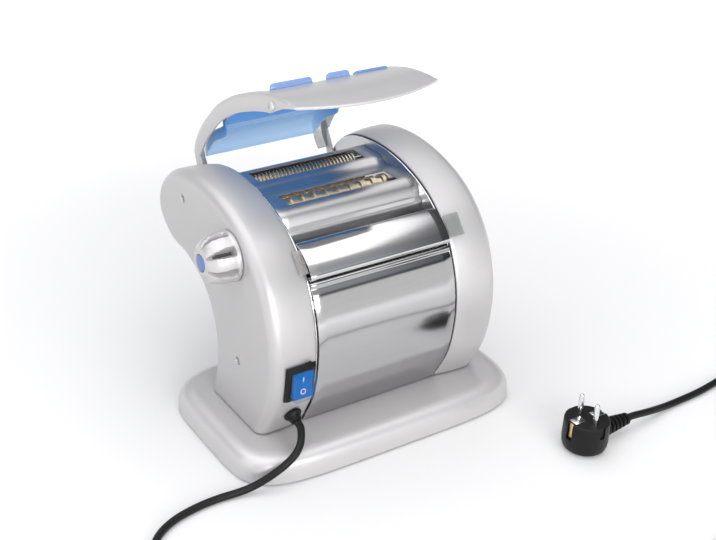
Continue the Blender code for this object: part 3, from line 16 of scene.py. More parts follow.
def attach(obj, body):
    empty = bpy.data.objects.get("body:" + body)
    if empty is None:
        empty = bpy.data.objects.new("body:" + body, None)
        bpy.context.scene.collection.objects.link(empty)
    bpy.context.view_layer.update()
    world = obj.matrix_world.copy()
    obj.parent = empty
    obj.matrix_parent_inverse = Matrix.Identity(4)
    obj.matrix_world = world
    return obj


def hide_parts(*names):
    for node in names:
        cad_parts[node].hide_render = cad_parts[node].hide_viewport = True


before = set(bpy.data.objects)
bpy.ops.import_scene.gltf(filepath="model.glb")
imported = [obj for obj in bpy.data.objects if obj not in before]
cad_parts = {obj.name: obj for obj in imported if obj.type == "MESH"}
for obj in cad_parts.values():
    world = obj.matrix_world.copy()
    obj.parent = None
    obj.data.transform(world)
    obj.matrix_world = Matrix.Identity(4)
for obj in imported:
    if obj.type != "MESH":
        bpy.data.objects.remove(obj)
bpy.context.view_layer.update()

BASE_Y = -0.0402
GAP = 0.0003
scene = bpy.context.scene
print("solids:", len(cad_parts))

# %% [markdown]
# The camera stands in front and to the left, well above the machine. Its place, lens and shift were found
# by matching known outlines of the machine with the picture. A camera could be aimed by eye, but then
# each outline would be a few pixels off.

# %% Camera
EYE = Vector((-0.5923, -0.9164, 0.7170))
AZIMUTH = math.radians(-31.13)
ELEVATION = math.radians(27.52)
ROLL = math.radians(0.67)
FRAME_WIDTH = 716
FOCAL_PIXELS = 1229.8
SENSOR_WIDTH = 36.0
AXIS_PIXEL = (293.6, 254.3)
FRAME_MIDDLE = (358.0, 270.0)
CLIP_START = 0.05

back = Vector((
    math.sin(AZIMUTH) * math.cos(ELEVATION),
    -math.cos(AZIMUTH) * math.cos(ELEVATION),
    math.sin(ELEVATION),
))
level_right = Vector((math.cos(AZIMUTH), math.sin(AZIMUTH), 0.0))
level_up = back.cross(level_right)
right = level_right * math.cos(ROLL) + level_up * math.sin(ROLL)
up = back.cross(right)
camera_data = bpy.data.cameras.new("camera")
camera_data.sensor_width = SENSOR_WIDTH
camera_data.lens = FOCAL_PIXELS / FRAME_WIDTH * SENSOR_WIDTH
camera_data.shift_x = (FRAME_MIDDLE[0] - AXIS_PIXEL[0]) / FRAME_WIDTH
camera_data.shift_y = (AXIS_PIXEL[1] - FRAME_MIDDLE[1]) / FRAME_WIDTH
camera_data.clip_start = CLIP_START
camera = bpy.data.objects.new("camera", camera_data)
camera.matrix_world = Matrix.Translation(EYE) @ Matrix((right, up, back)).transposed().to_4x4()
scene.collection.objects.link(camera)
scene.camera = camera
print("lens:", round(camera_data.lens, 2))
print("shift:", round(camera_data.shift_x, 4), round(camera_data.shift_y, 4))

# %% [markdown]
# Every finish is a small network of shader nodes. Written out node by node that is long to read, so one
# class wraps a socket and lets numbers and sockets be added and multiplied as in a formula.

# %% A socket in a formula
class Value:
    """A socket that can be used in a formula."""

    def __init__(self, network, socket):
        self.network = network
        self.socket = socket

    def maths(self, operation, first, second):
        return self.network.node("ShaderNodeMath", {"operation": operation}, {0: first, 1: second})

    def __add__(self, other):
        return self.maths("ADD", self, other)

    def __radd__(self, other):
        return self.maths("ADD", other, self)

    def __sub__(self, other):
        return self.maths("SUBTRACT", self, other)

    def __rsub__(self, other):
        return self.maths("SUBTRACT", other, self)

    def __mul__(self, other):
        return self.maths("MULTIPLY", self, other)

    def __rmul__(self, other):
        return self.maths("MULTIPLY", other, self)


print("formulas on sockets ready")

# %% [markdown]
# A second class makes the nodes. Its node method takes a node's type, its settings and what goes into its
# sockets. The settings come first, because some of them change which sockets the node has. The materials
# and the world both use it.

# %% Node networks
class Network:
    """The nodes of a material or of the world."""

    def __init__(self, tree):
        self.tree = tree

    def join(self, socket, value):
        if isinstance(value, Value):
            self.tree.links.new(value.socket, socket)
        else:
            socket.default_value = value

    def fill_ramp(self, ramp, stops):
        """Gives a colour ramp its stops. A new ramp has two already, which become the first and the last."""
        for element, (position, colour) in zip(ramp.elements, (stops[0], stops[-1])):
            element.position = position
            element.color = (*colour, 1.0)
        for position, colour in stops[1:-1]:
            ramp.elements.new(position).color = (*colour, 1.0)

    def node(self, kind, settings=None, sockets=None, output=0):
        made = self.tree.nodes.new(kind)
        for key, value in (settings or {}).items():
            if key == "stops":
                self.fill_ramp(made.color_ramp, value)
            else:
                setattr(made, key, value)
        for key, value in (sockets or {}).items():
            self.join(made.inputs[key], value)
        return Value(self, made.outputs[output])

    def share_between(self, value, low, high):
        """0 where the value is at or under low, 1 at or over high, and a straight line between."""
        sockets = {"Value": value, "From Min": low, "From Max": high}
        return self.node("ShaderNodeMapRange", sockets=sockets)


print("node networks ready")

# %% [markdown]
# A finish is a network that ends in a Principled shader. The same few things come back in each: a pattern
# on the piece's own coordinates, a colour and a roughness between two, and fine bumps.

# %% Finishes
class Finish(Network):
    """A material under construction."""

    def __init__(self, name, colour, roughness, metallic=0.0, **other):
        self.material = bpy.data.materials.new(name)
        self.material.use_nodes = True
        super().__init__(self.material.node_tree)
        self.shader = self.tree.nodes["Principled BSDF"]
        self.set("Base Color", (*colour, 1.0))
        self.set("Roughness", roughness)
        self.set("Metallic", metallic)
        for socket, value in other.items():
            self.set(socket.replace("_", " "), value)

    def set(self, name, value):
        self.join(self.shader.inputs[name], value)

    def place(self, scale=(1.0, 1.0, 1.0)):
        """Object coordinates in metres, stretched by the given scale."""
        where = self.node("ShaderNodeTexCoord", output="Object")
        return self.node("ShaderNodeMapping", sockets={"Vector": where, "Scale": scale})

    def noise(self, scale, detail=3.0, stretch=(1.0, 1.0, 1.0)):
        sockets = {"Vector": self.place(stretch), "Scale": scale, "Detail": detail, "Roughness": 0.5}
        return self.node("ShaderNodeTexNoise", sockets=sockets)

    def tint(self, factor, low, high):
        """A colour between two, by a factor from 0 to 1. Mix takes colours in its sockets 6 and 7."""
        sockets = {0: factor, 6: (*low, 1.0), 7: (*high, 1.0)}
        return self.node("ShaderNodeMix", {"data_type": "RGBA"}, sockets, output=2)

    def roughen(self, value, low, high):
        """Roughness from low to high, as a value goes from 0 to 1."""
        self.set("Roughness", low + value * (high - low))

    def bump(self, height, distance, strength=1.0):
        sockets = {"Height": height, "Distance": distance, "Strength": strength}
        self.set("Normal", self.node("ShaderNodeBump", sockets=sockets))


def times(colour, shares):
    """A colour whose channels are multiplied by three shares, and stay at or under 1."""
    return tuple(min(1.0, channel * share) for channel, share in zip(colour, shares))


print("finish helpers ready")

# %% [markdown]
# The casings, base, lid frame and knob are plastic with a satin silver paint. The paint is a pale warm
# grey with metal flakes far below a millimetre. It could be one flat colour, but then wide faces look
# like card. So a very fine noise stands for the flakes and a coarse one for slow unevenness, the paint is
# a little metallic, and its gloss is soft. Inner faces and hollows get a darker tone, since little light
# reaches them.

# %% Silver paint
PAINT_HUE = (1.0, 0.985, 0.985)
PAINT_DARK = (0.93, 0.91, 0.91)
PAINT_LIGHT = (1.07, 1.055, 1.055)
PAINT_METAL = 0.42
FLAKE_SCALE = 2600.0
CLOUD_SCALE = 22.0
GRAIN_SCALE = 1400.0
FLAKE_PART = 0.6
PAINT_UNEVEN = 0.05
PAINT_COAT = 0.12


def silver_paint(name, tone, roughness):
    grey = (tone, tone, tone)
    paint = Finish(name, times(grey, PAINT_HUE), roughness, PAINT_METAL)
    flakes = paint.noise(FLAKE_SCALE, 1.0)
    cloud = paint.noise(CLOUD_SCALE)
    mix = flakes * FLAKE_PART + cloud * (1.0 - FLAKE_PART)
    paint.set("Base Color", paint.tint(mix, times(grey, PAINT_DARK), times(grey, PAINT_LIGHT)))
    paint.roughen(cloud, roughness - PAINT_UNEVEN, roughness + PAINT_UNEVEN)
    paint.set("Coat Weight", PAINT_COAT)
    paint.bump(paint.noise(GRAIN_SCALE, 2.0), distance=0.00002, strength=0.5)
    return paint.material


SILVER = silver_paint("silver_paint", 0.51, 0.42)
SILVER_LID = silver_paint("silver_paint_lid", 0.54, 0.40)
SILVER_BASE = silver_paint("silver_paint_base", 0.58, 0.40)
SILVER_KNOB = silver_paint("silver_knob", 0.54, 0.34)
# A darker copy of the paint: painted shade for the bottoms of the knob's grooves.
SILVER_HOLLOW_SHADE = silver_paint("silver_paint_hollow", 0.16, 0.50)
# A darker copy of the paint: painted shade for the casings' inner walls.
SILVER_INNER_SHADE = silver_paint("silver_paint_inner", 0.22, 0.40)
print("silver paints made")

# %% [markdown]
# The sheet between the casings is polished steel. Polishing leaves faint lines along the sheet, which
# blur the reflections in one direction only, so the noise is stretched along the machine's width. The
# panel has a darker polish than the guide plate, and the top cover, where flour rubs, is duller.

# %% Polished steel
STEEL_HUE = (1.0, 1.0, 1.01)
STEEL_DARK = (0.95, 0.95, 0.96)
STEEL_LIGHT = (1.05, 1.04, 1.05)
ALONG_X = (2.0, 90.0, 90.0)
LINE_SCALE = 9.0
SMEAR_SCALE = 14.0
POLISH_CLEAR = 0.03
LINE_BLUR = 0.05
SMEAR_BLUR = 0.04


def polished(name, tone, roughness, stretch=ALONG_X):
    grey = (tone, tone, tone)
    steel = Finish(name, times(grey, STEEL_HUE), roughness, 1.0)
    lines = steel.noise(LINE_SCALE, 4.0, stretch)
    smears = steel.noise(SMEAR_SCALE, 2.0)
    steel.set("Base Color", steel.tint(lines, times(grey, STEEL_DARK), times(grey, STEEL_LIGHT)))
    steel.set("Roughness", roughness - POLISH_CLEAR + lines * LINE_BLUR + smears * SMEAR_BLUR)
    steel.bump(lines, distance=0.00003, strength=0.35)
    return steel.material


POLISHED = polished("polished_steel", 0.62, 0.11)
PANEL_STEEL = polished("panel_steel", 0.48, 0.125)
COVER_STEEL = polished("cover_steel", 0.60, 0.32)
EDGE_STEEL = polished("edge_steel", 0.80, 0.10, (30.0, 30.0, 30.0))
MACHINED = polished("machined_steel", 0.55, 0.30, (60.0, 60.0, 60.0))
NICKEL = polished("nickel", 0.78, 0.14, (40.0, 40.0, 4.0))
print("polished steels made")

# %% [markdown]
# The cutters are hardened steel with a straw tint, the plug's inner earth contacts are brass, and the
# motor is a casting. They have no polishing lines, so an even grain spreads their colour and gloss.

# %% Other metals
GRAIN_DARK = (0.82, 0.82, 0.82)
GRAIN_LIGHT = (1.14, 1.14, 1.14)
SMOOTHER = 0.06
ROUGHER = 0.08


def plain_metal(name, colour, roughness, grain):
    metal = Finish(name, colour, roughness, 1.0)
    spread = metal.noise(grain)
    metal.set("Base Color", metal.tint(spread, times(colour, GRAIN_DARK), times(colour, GRAIN_LIGHT)))
    metal.roughen(spread, roughness - SMOOTHER, roughness + ROUGHER)
    metal.bump(spread, distance=0.00004, strength=0.4)
    return metal.material


STRAW = plain_metal("straw_steel", (0.70, 0.60, 0.46), 0.30, 420.0)
BRASS = plain_metal("brass", (0.76, 0.58, 0.30), 0.28, 300.0)
CAST = plain_metal("cast_metal", (0.42, 0.42, 0.43), 0.50, 500.0)
print("other metals made")

# %% [markdown]
# The lead, gland and plug are black plastic with a fine moulded grain, the feet black rubber and the
# idler gears white nylon. One function with another colour and grain serves them all. Black plastic looks
# grey when its gloss is full, so its specular level is turned down.

# %% Moulded plastics
MOULD_SPREAD_SCALE = 35.0
MOULD_SPECULAR = 0.22
MOULD_UNEVEN = 0.05
MOULD_LIGHT = 1.25
LEAST_SPREAD = 0.002


def moulded(name, colour, roughness, grain=1500.0, depth=0.00003):
    plastic = Finish(name, colour, roughness)
    grains = plastic.noise(grain, 2.0)
    spread = plastic.noise(MOULD_SPREAD_SCALE, 2.0)
    high = tuple(min(1.0, channel * MOULD_LIGHT + LEAST_SPREAD) for channel in colour)
    plastic.set("Base Color", plastic.tint(spread, times(colour, GRAIN_DARK), high))
    plastic.roughen(grains, roughness - MOULD_UNEVEN, roughness + MOULD_UNEVEN)
    plastic.set("Specular IOR Level", MOULD_SPECULAR)
    plastic.bump(grains, depth, strength=0.6)
    return plastic.material


BLACK = moulded("black_plastic", (0.006, 0.006, 0.006), 0.42)
LEAD = moulded("black_lead", (0.008, 0.008, 0.008), 0.40, 900.0, 0.00002)
RUBBER = moulded("black_rubber", (0.030, 0.030, 0.030), 0.75)
NYLON = moulded("white_nylon", (0.80, 0.79, 0.74), 0.45)
MARK = moulded("mark_white", (0.85, 0.87, 0.90), 0.40)
BUTTON = moulded("button_blue", (0.13, 0.20, 0.42), 0.30)
print("moulded plastics made")

# %% [markdown]
# Clear plastic could be true glass, which bends light, but that is noisy and slow to bake. Here it is
# plastic that is partly see-through. Its edges look denser, because there the eye looks through more of
# it, and Layer Weight gives that without knowing where the camera is.

# %% Clear plastics
CLEAR_IOR = 1.46
HAZE_SCALE = 60.0
HAZE_BLUR = 0.05
CLEAR_SPECULAR = 0.45
CLEAR_COAT = 0.2
EDGE_BLEND = 0.35
CLEAR_DARK = (0.88, 0.88, 0.88)


def clear_finish(name, colour, roughness):
    """The gloss and the slight haze that all clear plastics share."""
    plastic = Finish(name, colour, roughness, IOR=CLEAR_IOR)
    haze = plastic.noise(HAZE_SCALE, 2.0)
    plastic.roughen(haze, roughness, roughness + HAZE_BLUR)
    plastic.set("Specular IOR Level", CLEAR_SPECULAR)
    plastic.set("Coat Weight", CLEAR_COAT)
    return plastic, haze


def clear_plastic(name, colour, roughness, least, most):
    """Clear plastic whose opacity goes from least, seen straight, to most at its edges."""
    plastic, haze = clear_finish(name, colour, roughness)
    facing = plastic.node("ShaderNodeLayerWeight", sockets={"Blend": EDGE_BLEND}, output="Facing")
    plastic.set("Alpha", facing * (most - least) + least)
    plastic.set("Base Color", plastic.tint(haze, times(colour, CLEAR_DARK), colour))
    return plastic.material


TAB_CLEAR = clear_plastic("clear_tab_blue", (0.20, 0.36, 0.74), 0.06, 0.66, 0.94)
GREY_CLEAR = clear_plastic("clear_grey", (0.30, 0.33, 0.31), 0.08, 0.35, 0.85)
SMOKE_CLEAR = clear_plastic("clear_smoke", (0.42, 0.40, 0.39), 0.10, 0.30, 0.80)
COVER_CLEAR = clear_plastic("clear_cover", (0.12, 0.24, 0.38), 0.04, 0.03, 0.30)
print("clear plastics made")

# %% [markdown]
# The lid's clear shell is deep blue high up, where one looks along its curve, and nearly colourless at
# its lower edge. The height on the piece leads that change. A faint glow of its own stands for the light
# that travels inside the plastic.

# %% Clear shell of the lid
SHELL_DEEP = (0.050, 0.190, 0.450)
SHELL_PALE = (0.30, 0.50, 0.72)
SHELL_HIGH = 0.266
SHELL_LOW = 0.226
SHELL_LEAST = 0.62
SHELL_MOST = 0.96
GLOW_PALE = (0.22, 0.36, 0.52)
GLOW_DEEP = (0.06, 0.19, 0.42)
SHELL_GLOW = 0.34

shell_finish = clear_finish("clear_shell", SHELL_DEEP, 0.08)[0]
height = shell_finish.node("ShaderNodeSeparateXYZ", sockets={"Vector": shell_finish.place()}, output="Z")
depth_share = shell_finish.share_between(height, SHELL_LOW, SHELL_HIGH)
shell_finish.set("Base Color", shell_finish.tint(depth_share, SHELL_PALE, SHELL_DEEP))
shell_finish.set("Alpha", depth_share * (SHELL_MOST - SHELL_LEAST) + SHELL_LEAST)
shell_finish.set("Emission Color", shell_finish.tint(depth_share, GLOW_PALE, GLOW_DEEP))
shell_finish.set("Emission Strength", SHELL_GLOW)
SHELL_CLEAR = shell_finish.material
print("clear shell made")

# %% [markdown]
# The rocker is lit from inside. A lamp behind it would be hidden by the switch, so the plastic itself
# gives a little light, unevenly, and has no gloss of its own because the clear cover over it has.

# %% Lit plastic
ROCKER_HUE = (0.0, 0.065, 0.270)
ROCKER_GLOW = (0.0, 0.15, 0.48)
GLOW_DIM = (0.55, 0.55, 0.55)
GLOW_SCALE = 90.0
GLOW_STRENGTH = 0.50

rocker_finish = Finish("rocker_blue", ROCKER_HUE, 0.22, Specular_IOR_Level=0.0)
glow_cloud = rocker_finish.noise(GLOW_SCALE, 2.0)
dim_glow = times(ROCKER_GLOW, GLOW_DIM)
rocker_finish.set("Emission Color", rocker_finish.tint(glow_cloud, dim_glow, ROCKER_GLOW))
rocker_finish.set("Emission Strength", GLOW_STRENGTH)
ROCKER_BLUE = rocker_finish.material
print("lit plastic made")

# %% [markdown]
# Each solid that stays in view, or inside the casings, takes the finish of what it is made of. Most of
# them are machined steel, so only the others are listed.

# %% Finishes of the solids that stay
NODE_FINISH = {
    "base_cover": BLACK,
    "rear_chute": PANEL_STEEL,
    "left_hinge_pin": EDGE_STEEL,
    "right_hinge_pin": EDGE_STEEL,
    "motor": CAST,
    "gearbox": CAST,
}
NODE_FINISH |= {f"foot_{k}": RUBBER for k in range(1, 5)}
NODE_FINISH |= {f"{word}_idler_gear": NYLON for word in ("upper", "lower", "front", "rear")}
NODE_FINISH |= {f"plug_earth_clip_{k}": BRASS for k in (1, 2)}
for name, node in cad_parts.items():
    node.data.materials.clear()
    node.data.materials.append(NODE_FINISH.get(name, MACHINED))
print("finishes set on", len(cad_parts), "solids")

# %% [markdown]
# A few small helpers do what the hand does in Blender. The first ones clear the selection, open a mesh
# for editing, and pick what to work on by its place.

# %% Selecting
def deselect():
    if bpy.context.mode != "OBJECT":
        bpy.ops.object.mode_set(mode="OBJECT")
    bpy.ops.object.select_all(action="DESELECT")


def activate(obj):
    deselect()
    obj.select_set(True)
    bpy.context.view_layer.objects.active = obj


def edit(obj):
    activate(obj)
    bpy.ops.object.mode_set(mode="EDIT")
    bpy.ops.mesh.select_all(action="SELECT")


def done():
    bpy.ops.object.mode_set(mode="OBJECT")


def pick(obj, kind, test):
    """Selects only the faces, edges or vertices that pass a test."""
    bpy.ops.mesh.select_mode(type={"faces": "FACE", "edges": "EDGE", "verts": "VERT"}[kind])
    bpy.ops.mesh.select_all(action="DESELECT")
    mesh = bmesh.from_edit_mesh(obj.data)
    for item in getattr(mesh, kind):
        item.select_set(bool(test(item)))
    bmesh.update_edit_mesh(obj.data)


print("selecting helpers ready")

# %% [markdown]
# The next ones apply a modifier, make a mesh of points, merge its doubles, and move an object's place
# into its mesh, so that every piece ends with its origin in the same spot.

# %% Editing
def modify(obj, kind, **settings):
    """Adds a modifier, sets it and applies it."""
    activate(obj)
    made = obj.modifiers.new(kind.lower(), kind)
    for key, value in settings.items():
        setattr(made, key, value)
    bpy.ops.object.modifier_apply(modifier=made.name)
    return obj


def from_points(name, points, edges=(), faces=()):
    mesh = bpy.data.meshes.new(name)
    mesh.from_pydata([tuple(p) for p in points], list(edges), list(faces))
    obj = bpy.data.objects.new(name, mesh)
    scene.collection.objects.link(obj)
    activate(obj)
    return obj


def tidy(obj, distance=0.00001):
    """Merges doubles and turns all faces outwards."""
    edit(obj)
    bpy.ops.mesh.remove_doubles(threshold=distance)
    bpy.ops.mesh.normals_make_consistent(inside=False)
    done()
    return obj


def settle(obj):
    """Moves the object's place into its mesh."""
    activate(obj)
    bpy.ops.object.transform_apply(location=True, rotation=True, scale=True)
    return obj


print("editing helpers ready")

# %% [markdown]
# Every piece ends the same way. It is shaded smooth up to an angle, takes one finish, rides on the body
# that carries it, and hides the solids it stands for. One function does all of it, so that no piece
# misses a step.

# %% Finishing a piece
def finish_piece(obj, body, material, slot, *nodes, angle=35.0):
    """Shading, finish, the body that carries the piece, and hiding the solids it stands for."""
    activate(obj)
    if angle:
        bpy.ops.object.shade_smooth_by_angle(angle=math.radians(angle))
    obj.data.materials.clear()
    obj.data.materials.append(material)
    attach(obj, body)
    if nodes:
        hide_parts(*nodes)
    print(obj.name, "-", len(obj.data.polygons), "faces")
    return obj


print("finishing helper ready")

# %% [markdown]
# Most pieces start from one of three shapes. A turned piece is a profile that Spin takes round an axis, a
# slab is an outline that is extruded, and a block is a cube with a size. Blocks and turned pieces are
# also the tools that cut holes, because a Boolean leaves a clean edge in a wall that is already curved.

# %% Turned pieces, slabs and blocks
def spun(name, profile, y, z, steps=48):
    """A turned piece: points of distance along X and radius, spun about the axis at y and z."""
    points = [(x, y + radius, z) for x, radius in profile]
    obj = from_points(name, points, [(i, i + 1) for i in range(len(points) - 1)])
    edit(obj)
    bpy.ops.mesh.spin(steps=steps, angle=2 * math.pi, center=(0.0, y, z), axis=(1.0, 0.0, 0.0))
    done()
    return tidy(obj)


def slab(name, outline, low, high):
    """A flat plate: an outline of y and z, extruded along X from low to high."""
    points = [(low, y, z) for y, z in outline]
    obj = from_points(name, points, (), [tuple(range(len(points)))])
    edit(obj)
    bpy.ops.mesh.extrude_region_move(TRANSFORM_OT_translate={"value": (high - low, 0.0, 0.0)})
    done()
    return tidy(obj)


def block(name, size, matrix):
    """A box of a size, set in a frame of its own."""
    deselect()
    bpy.ops.mesh.primitive_cube_add(size=1.0)
    obj = bpy.context.object
    obj.name = name
    obj.matrix_world = matrix @ Matrix.Diagonal((*size, 1.0))
    return settle(obj)


def combine(obj, other, operation):
    modify(obj, "BOOLEAN", object=other, operation=operation, solver="EXACT")
    bpy.data.objects.remove(other, do_unlink=True)
    return obj


def subtract(obj, cutter):
    return combine(obj, cutter, "DIFFERENCE")


def unite(obj, other):
    return combine(obj, other, "UNION")


print("starting shapes ready")

# %% [markdown]
# The large curved covers have no simple start. They are skins drawn over rings of points, as a boat is
# planked over its frames. The rings follow smooth curves through a few chosen points, so that a cover's
# form can be changed by moving one of them.

# %% Skins and curves
def skin(rings, closed=True, first=False, last=False):
    """Points and faces of a skin over rings of equal count."""
    points = [point for ring in rings for point in ring]
    count = len(rings[0])
    faces = []
    for r in range(len(rings) - 1):
        for i in range(count if closed else count - 1):
            j = (i + 1) % count
            faces.append((r * count + i, r * count + j, (r + 1) * count + j, (r + 1) * count + i))
    if first:
        faces.append(tuple(range(count)))
    if last:
        faces.append(tuple(range((len(rings) - 1) * count, len(rings) * count)))
    return points, faces


def smooth(points, steps):
    """Points on a Catmull-Rom curve through the given ones."""
    found = []
    for i in range(len(points) - 1):
        here = Vector(points[i])
        there = Vector(points[i + 1])
        before = Vector(points[i - 1]) if i > 0 else here * 2 - there
        after = Vector(points[i + 2]) if i + 2 < len(points) else there * 2 - here
        for k in range(steps):
            t = k / steps
            bend = (before * 2 - here * 5 + there * 4 - after) * t * t
            twist = (here * 3 - before - there * 3 + after) * t ** 3
            found.append((here * 2 + (there - before) * t + bend + twist) / 2)
    found.append(Vector(points[-1]))
    return found


print("skins and curves ready")

# %% [markdown]
# The lead comes first, because it decides how much floor the machine needs. It leaves the gland below the
# switch, runs over the base's corner, crosses the floor out of the picture, passes in front of it and
# comes back to the plug. Most of it is out of view, so its way over the floor is a loose meander that was
# chosen. It ends at the ribbed sleeve of the plug, whose place and size are needed here already.

# %% The lead's route
PLUG_X = 0.157
PLUG_Y = -0.186 + BASE_Y
PLUG_RADIUS = 0.0225
PLUG_HEIGHT = 0.034
PLUG_EXIT_Z = 0.014
RELIEF_LENGTH = 0.034
LEAD_RADIUS = 0.0036
LEAD_START = Vector((-0.0995, -0.11013, 0.04878))
LEAD_OUT = Vector((0.0, -0.9121, -0.4101))
LEAD_POINTS = (
    (-0.1040, -0.0852, 0.0412),
    (-0.1092, -0.0908, 0.0370),
    (-0.1168, -0.0946, 0.0322),
    (-0.1262, -0.0958, 0.0268),
    (-0.1362, -0.0946, 0.0206),
    (-0.1466, -0.0916, 0.0138),
    (-0.1578, -0.0882, 0.0080),
    (-0.1710, -0.0850, 0.0046),
    (-0.1900, -0.0828, 0.0037),
    (-0.2120, -0.0840, 0.0037),
    (-0.2360, -0.0893, 0.0037),
    (-0.2560, -0.0998, 0.0037),
    (-0.2700, -0.1160, 0.0037),
    (-0.2790, -0.1400, 0.0037),
    (-0.2840, -0.1750, 0.0037),
    (-0.2850, -0.2150, 0.0037),
    (-0.2850, -0.2550, 0.0037),
    (-0.2820, -0.2950, 0.0037),
    (-0.2700, -0.3280, 0.0037),
    (-0.2460, -0.3490, 0.0037),
    (-0.2150, -0.3520, 0.0037),
    (-0.1880, -0.3370, 0.0037),
    (-0.1740, -0.3080, 0.0037),
    (-0.1660, -0.2720, 0.0037),
    (-0.1510, -0.2400, 0.0037),
    (-0.1240, -0.2270, 0.0037),
    (-0.0970, -0.2400, 0.0037),
    (-0.0800, -0.2700, 0.0037),
    (-0.0640, -0.3050, 0.0037),
    (-0.0400, -0.3330, 0.0037),
    (-0.0050, -0.3480, 0.0037),
    (0.0400, -0.3560, 0.0037),
    (0.0850, -0.3600, 0.0037),
    (0.1250, -0.3610, 0.0037),
    (0.1600, -0.3590, 0.0037),
    (0.1950, -0.3430, 0.0037),
    (0.2300, -0.3130, 0.0037),
    (0.2700, -0.2770, 0.0037),
    (0.3150, -0.2370, 0.0037),
    (0.3480, -0.2110, 0.0037),
    (0.3690, -0.2015, 0.0037),
    (0.3775, -0.1880, 0.0037),
    (0.3730, -0.1770, 0.0037),
    (0.3600, -0.1738, 0.0037),
    (0.3430, -0.1762, 0.0037),
    (0.3200, -0.1788, 0.0037),
    (0.2950, -0.1800, 0.0038),
    (0.2700, -0.1815, 0.0052),
    (0.2450, -0.1845, 0.0098),
)
straight = LEAD_RADIUS * 2
lead_end = Vector((PLUG_X + PLUG_RADIUS + RELIEF_LENGTH + GAP, PLUG_Y, PLUG_EXIT_Z))
route = [LEAD_START, LEAD_START + LEAD_OUT * straight]
route += [Vector((x, y + BASE_Y, z)) for x, y, z in LEAD_POINTS]
route += [lead_end + Vector((straight, 0.0, 0.0)), lead_end]
print("route points", len(route))

# %% [markdown]
# The lead itself is a moulded round cord of about 7 mm. It could be a row of cylinders, but a curve with
# a round bevel bends without a seam and keeps its thickness in every bend.

# %% Mains lead
LEAD_STEPS = 8
lead_line = smooth(route, LEAD_STEPS)
lead_curve = bpy.data.curves.new("mains_lead", "CURVE")
lead_curve.dimensions = "3D"
lead_curve.bevel_depth = LEAD_RADIUS
lead_curve.bevel_resolution = 5
lead_curve.use_fill_caps = True
spline = lead_curve.splines.new("POLY")
spline.points.add(len(lead_line) - 1)
for point, spot in zip(spline.points, lead_line):
    point.co = (*spot, 1.0)
lead = bpy.data.objects.new("mains_lead", lead_curve)
scene.collection.objects.link(lead)
lead_curve.materials.append(LEAD)
lead_length = sum((b - a).length for a, b in zip(lead_line, lead_line[1:]))
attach(lead, "housing")
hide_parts("cord")
print("lead length", round(lead_length, 3))

# %% [markdown]
# The head's side outline is one smooth curve from the front foot over the crown to the rear and back
# under to the neck. Every wide piece follows it, so it is written once, as shares of the head's depth and
# height.

# %% The head's outline
HEAD_DEPTH = 0.236
HEAD_REACH = 0.074
HEAD_RISE = 0.218
HEAD_STEPS = 8
BASE_HEIGHT = 0.027
HEAD_SHARES = (
    (0.114, 0.0),
    (0.030, 0.183),
    (0.000, 0.390),
    (0.021, 0.573),
    (0.097, 0.752),
    (0.237, 0.894),
    (0.432, 0.977),
    (0.644, 1.000),
    (0.843, 0.959),
    (0.975, 0.844),
    (0.992, 0.702),
    (0.881, 0.596),
    (0.729, 0.569),
    (0.585, 0.491),
    (0.500, 0.344),
    (0.492, 0.174),
    (0.534, 0.0),
)
head = smooth(
    [
        (sy * HEAD_DEPTH - HEAD_REACH + BASE_Y, BASE_HEIGHT + GAP + sz * HEAD_RISE)
        for sy, sz in HEAD_SHARES
    ],
    HEAD_STEPS,
)
print("outline points", len(head))

# %% [markdown]
# Two questions come back for every piece on the head. What is the outline a little further in, and where
# is its front at some height, with which slope? The second gives a frame in which the switch, the gland
# and the guide plate's ears can be modelled flat and still lie on the curved front.

# %% On the head's outline
SWITCH_X = -0.0995
SWITCH_Z = 0.095


def inset(points, amount):
    """The outline moved inwards. Its two feet stay level."""
    moved = []
    end = len(points) - 1
    for i, point in enumerate(points):
        along = (points[min(i + 1, end)] - points[max(i - 1, 0)]).normalized()
        inward = Vector((along.y, -along.x))
        if i in (0, end):
            inward = Vector((math.copysign(1.0, inward.x), 0.0))
        moved.append(point + inward * amount)
    return moved


def front_at(z):
    """The point of the head's front at a height, its outward normal and its upward direction."""
    for low, high in zip(head, head[1:]):
        if low.y <= z <= high.y:
            rise = (high - low).normalized()
            return low.lerp(high, (z - low.y) / (high.y - low.y)), Vector((-rise.y, rise.x)), rise


def front_frame(x, z, lift):
    """A frame on the head's front: X to the right, Y up along it, Z out of it."""
    point, out, rise = front_at(z)
    spot = point + out * lift
    return Matrix((
        (1.0, 0.0, 0.0, x),
        (0.0, rise.x, out.x, spot.x),
        (0.0, rise.y, out.y, spot.y),
        (0.0, 0.0, 0.0, 1.0),
    ))


print("front at the switch:", [round(v, 4) for v in front_at(SWITCH_Z)[0]])

# %% [markdown]
# The base is a low plastic tray, upside down: an oblong with bulging sides and a soft shoulder round a
# flat top. A cube with bevelled edges would have straight sides. A superellipse gives the real plan, with
# one number for how square its corners are. The rings climb the skirt, lean in over the shoulder and meet
# the plateau.

# %% Base
BASE_LENGTH = 0.322
BASE_DEPTH = 0.196
BASE_WALL = 0.0024
CORNER_POWER = 5.2
PLAN_POINTS = 160
BASE_STATIONS = smooth(
    (
        (0.0020, 0.0000),
        (0.0110, 0.0005),
        (0.0180, 0.0020),
        (0.0222, 0.0044),
        (0.0248, 0.0076),
        (0.0263, 0.0112),
        (0.0270, 0.0156),
        (0.0270, 0.0230),
    ),
    steps=4,
)


def rounded_oblong(length, depth, z):
    ring = []
    for i in range(PLAN_POINTS):
        a = 2 * math.pi * (i + 0.5) / PLAN_POINTS
        c = math.cos(a)
        s = math.sin(a)
        x = math.copysign(abs(c) ** (2 / CORNER_POWER), c) * length / 2
        y = math.copysign(abs(s) ** (2 / CORNER_POWER), s) * depth / 2
        ring.append((x, y + BASE_Y, z))
    return ring


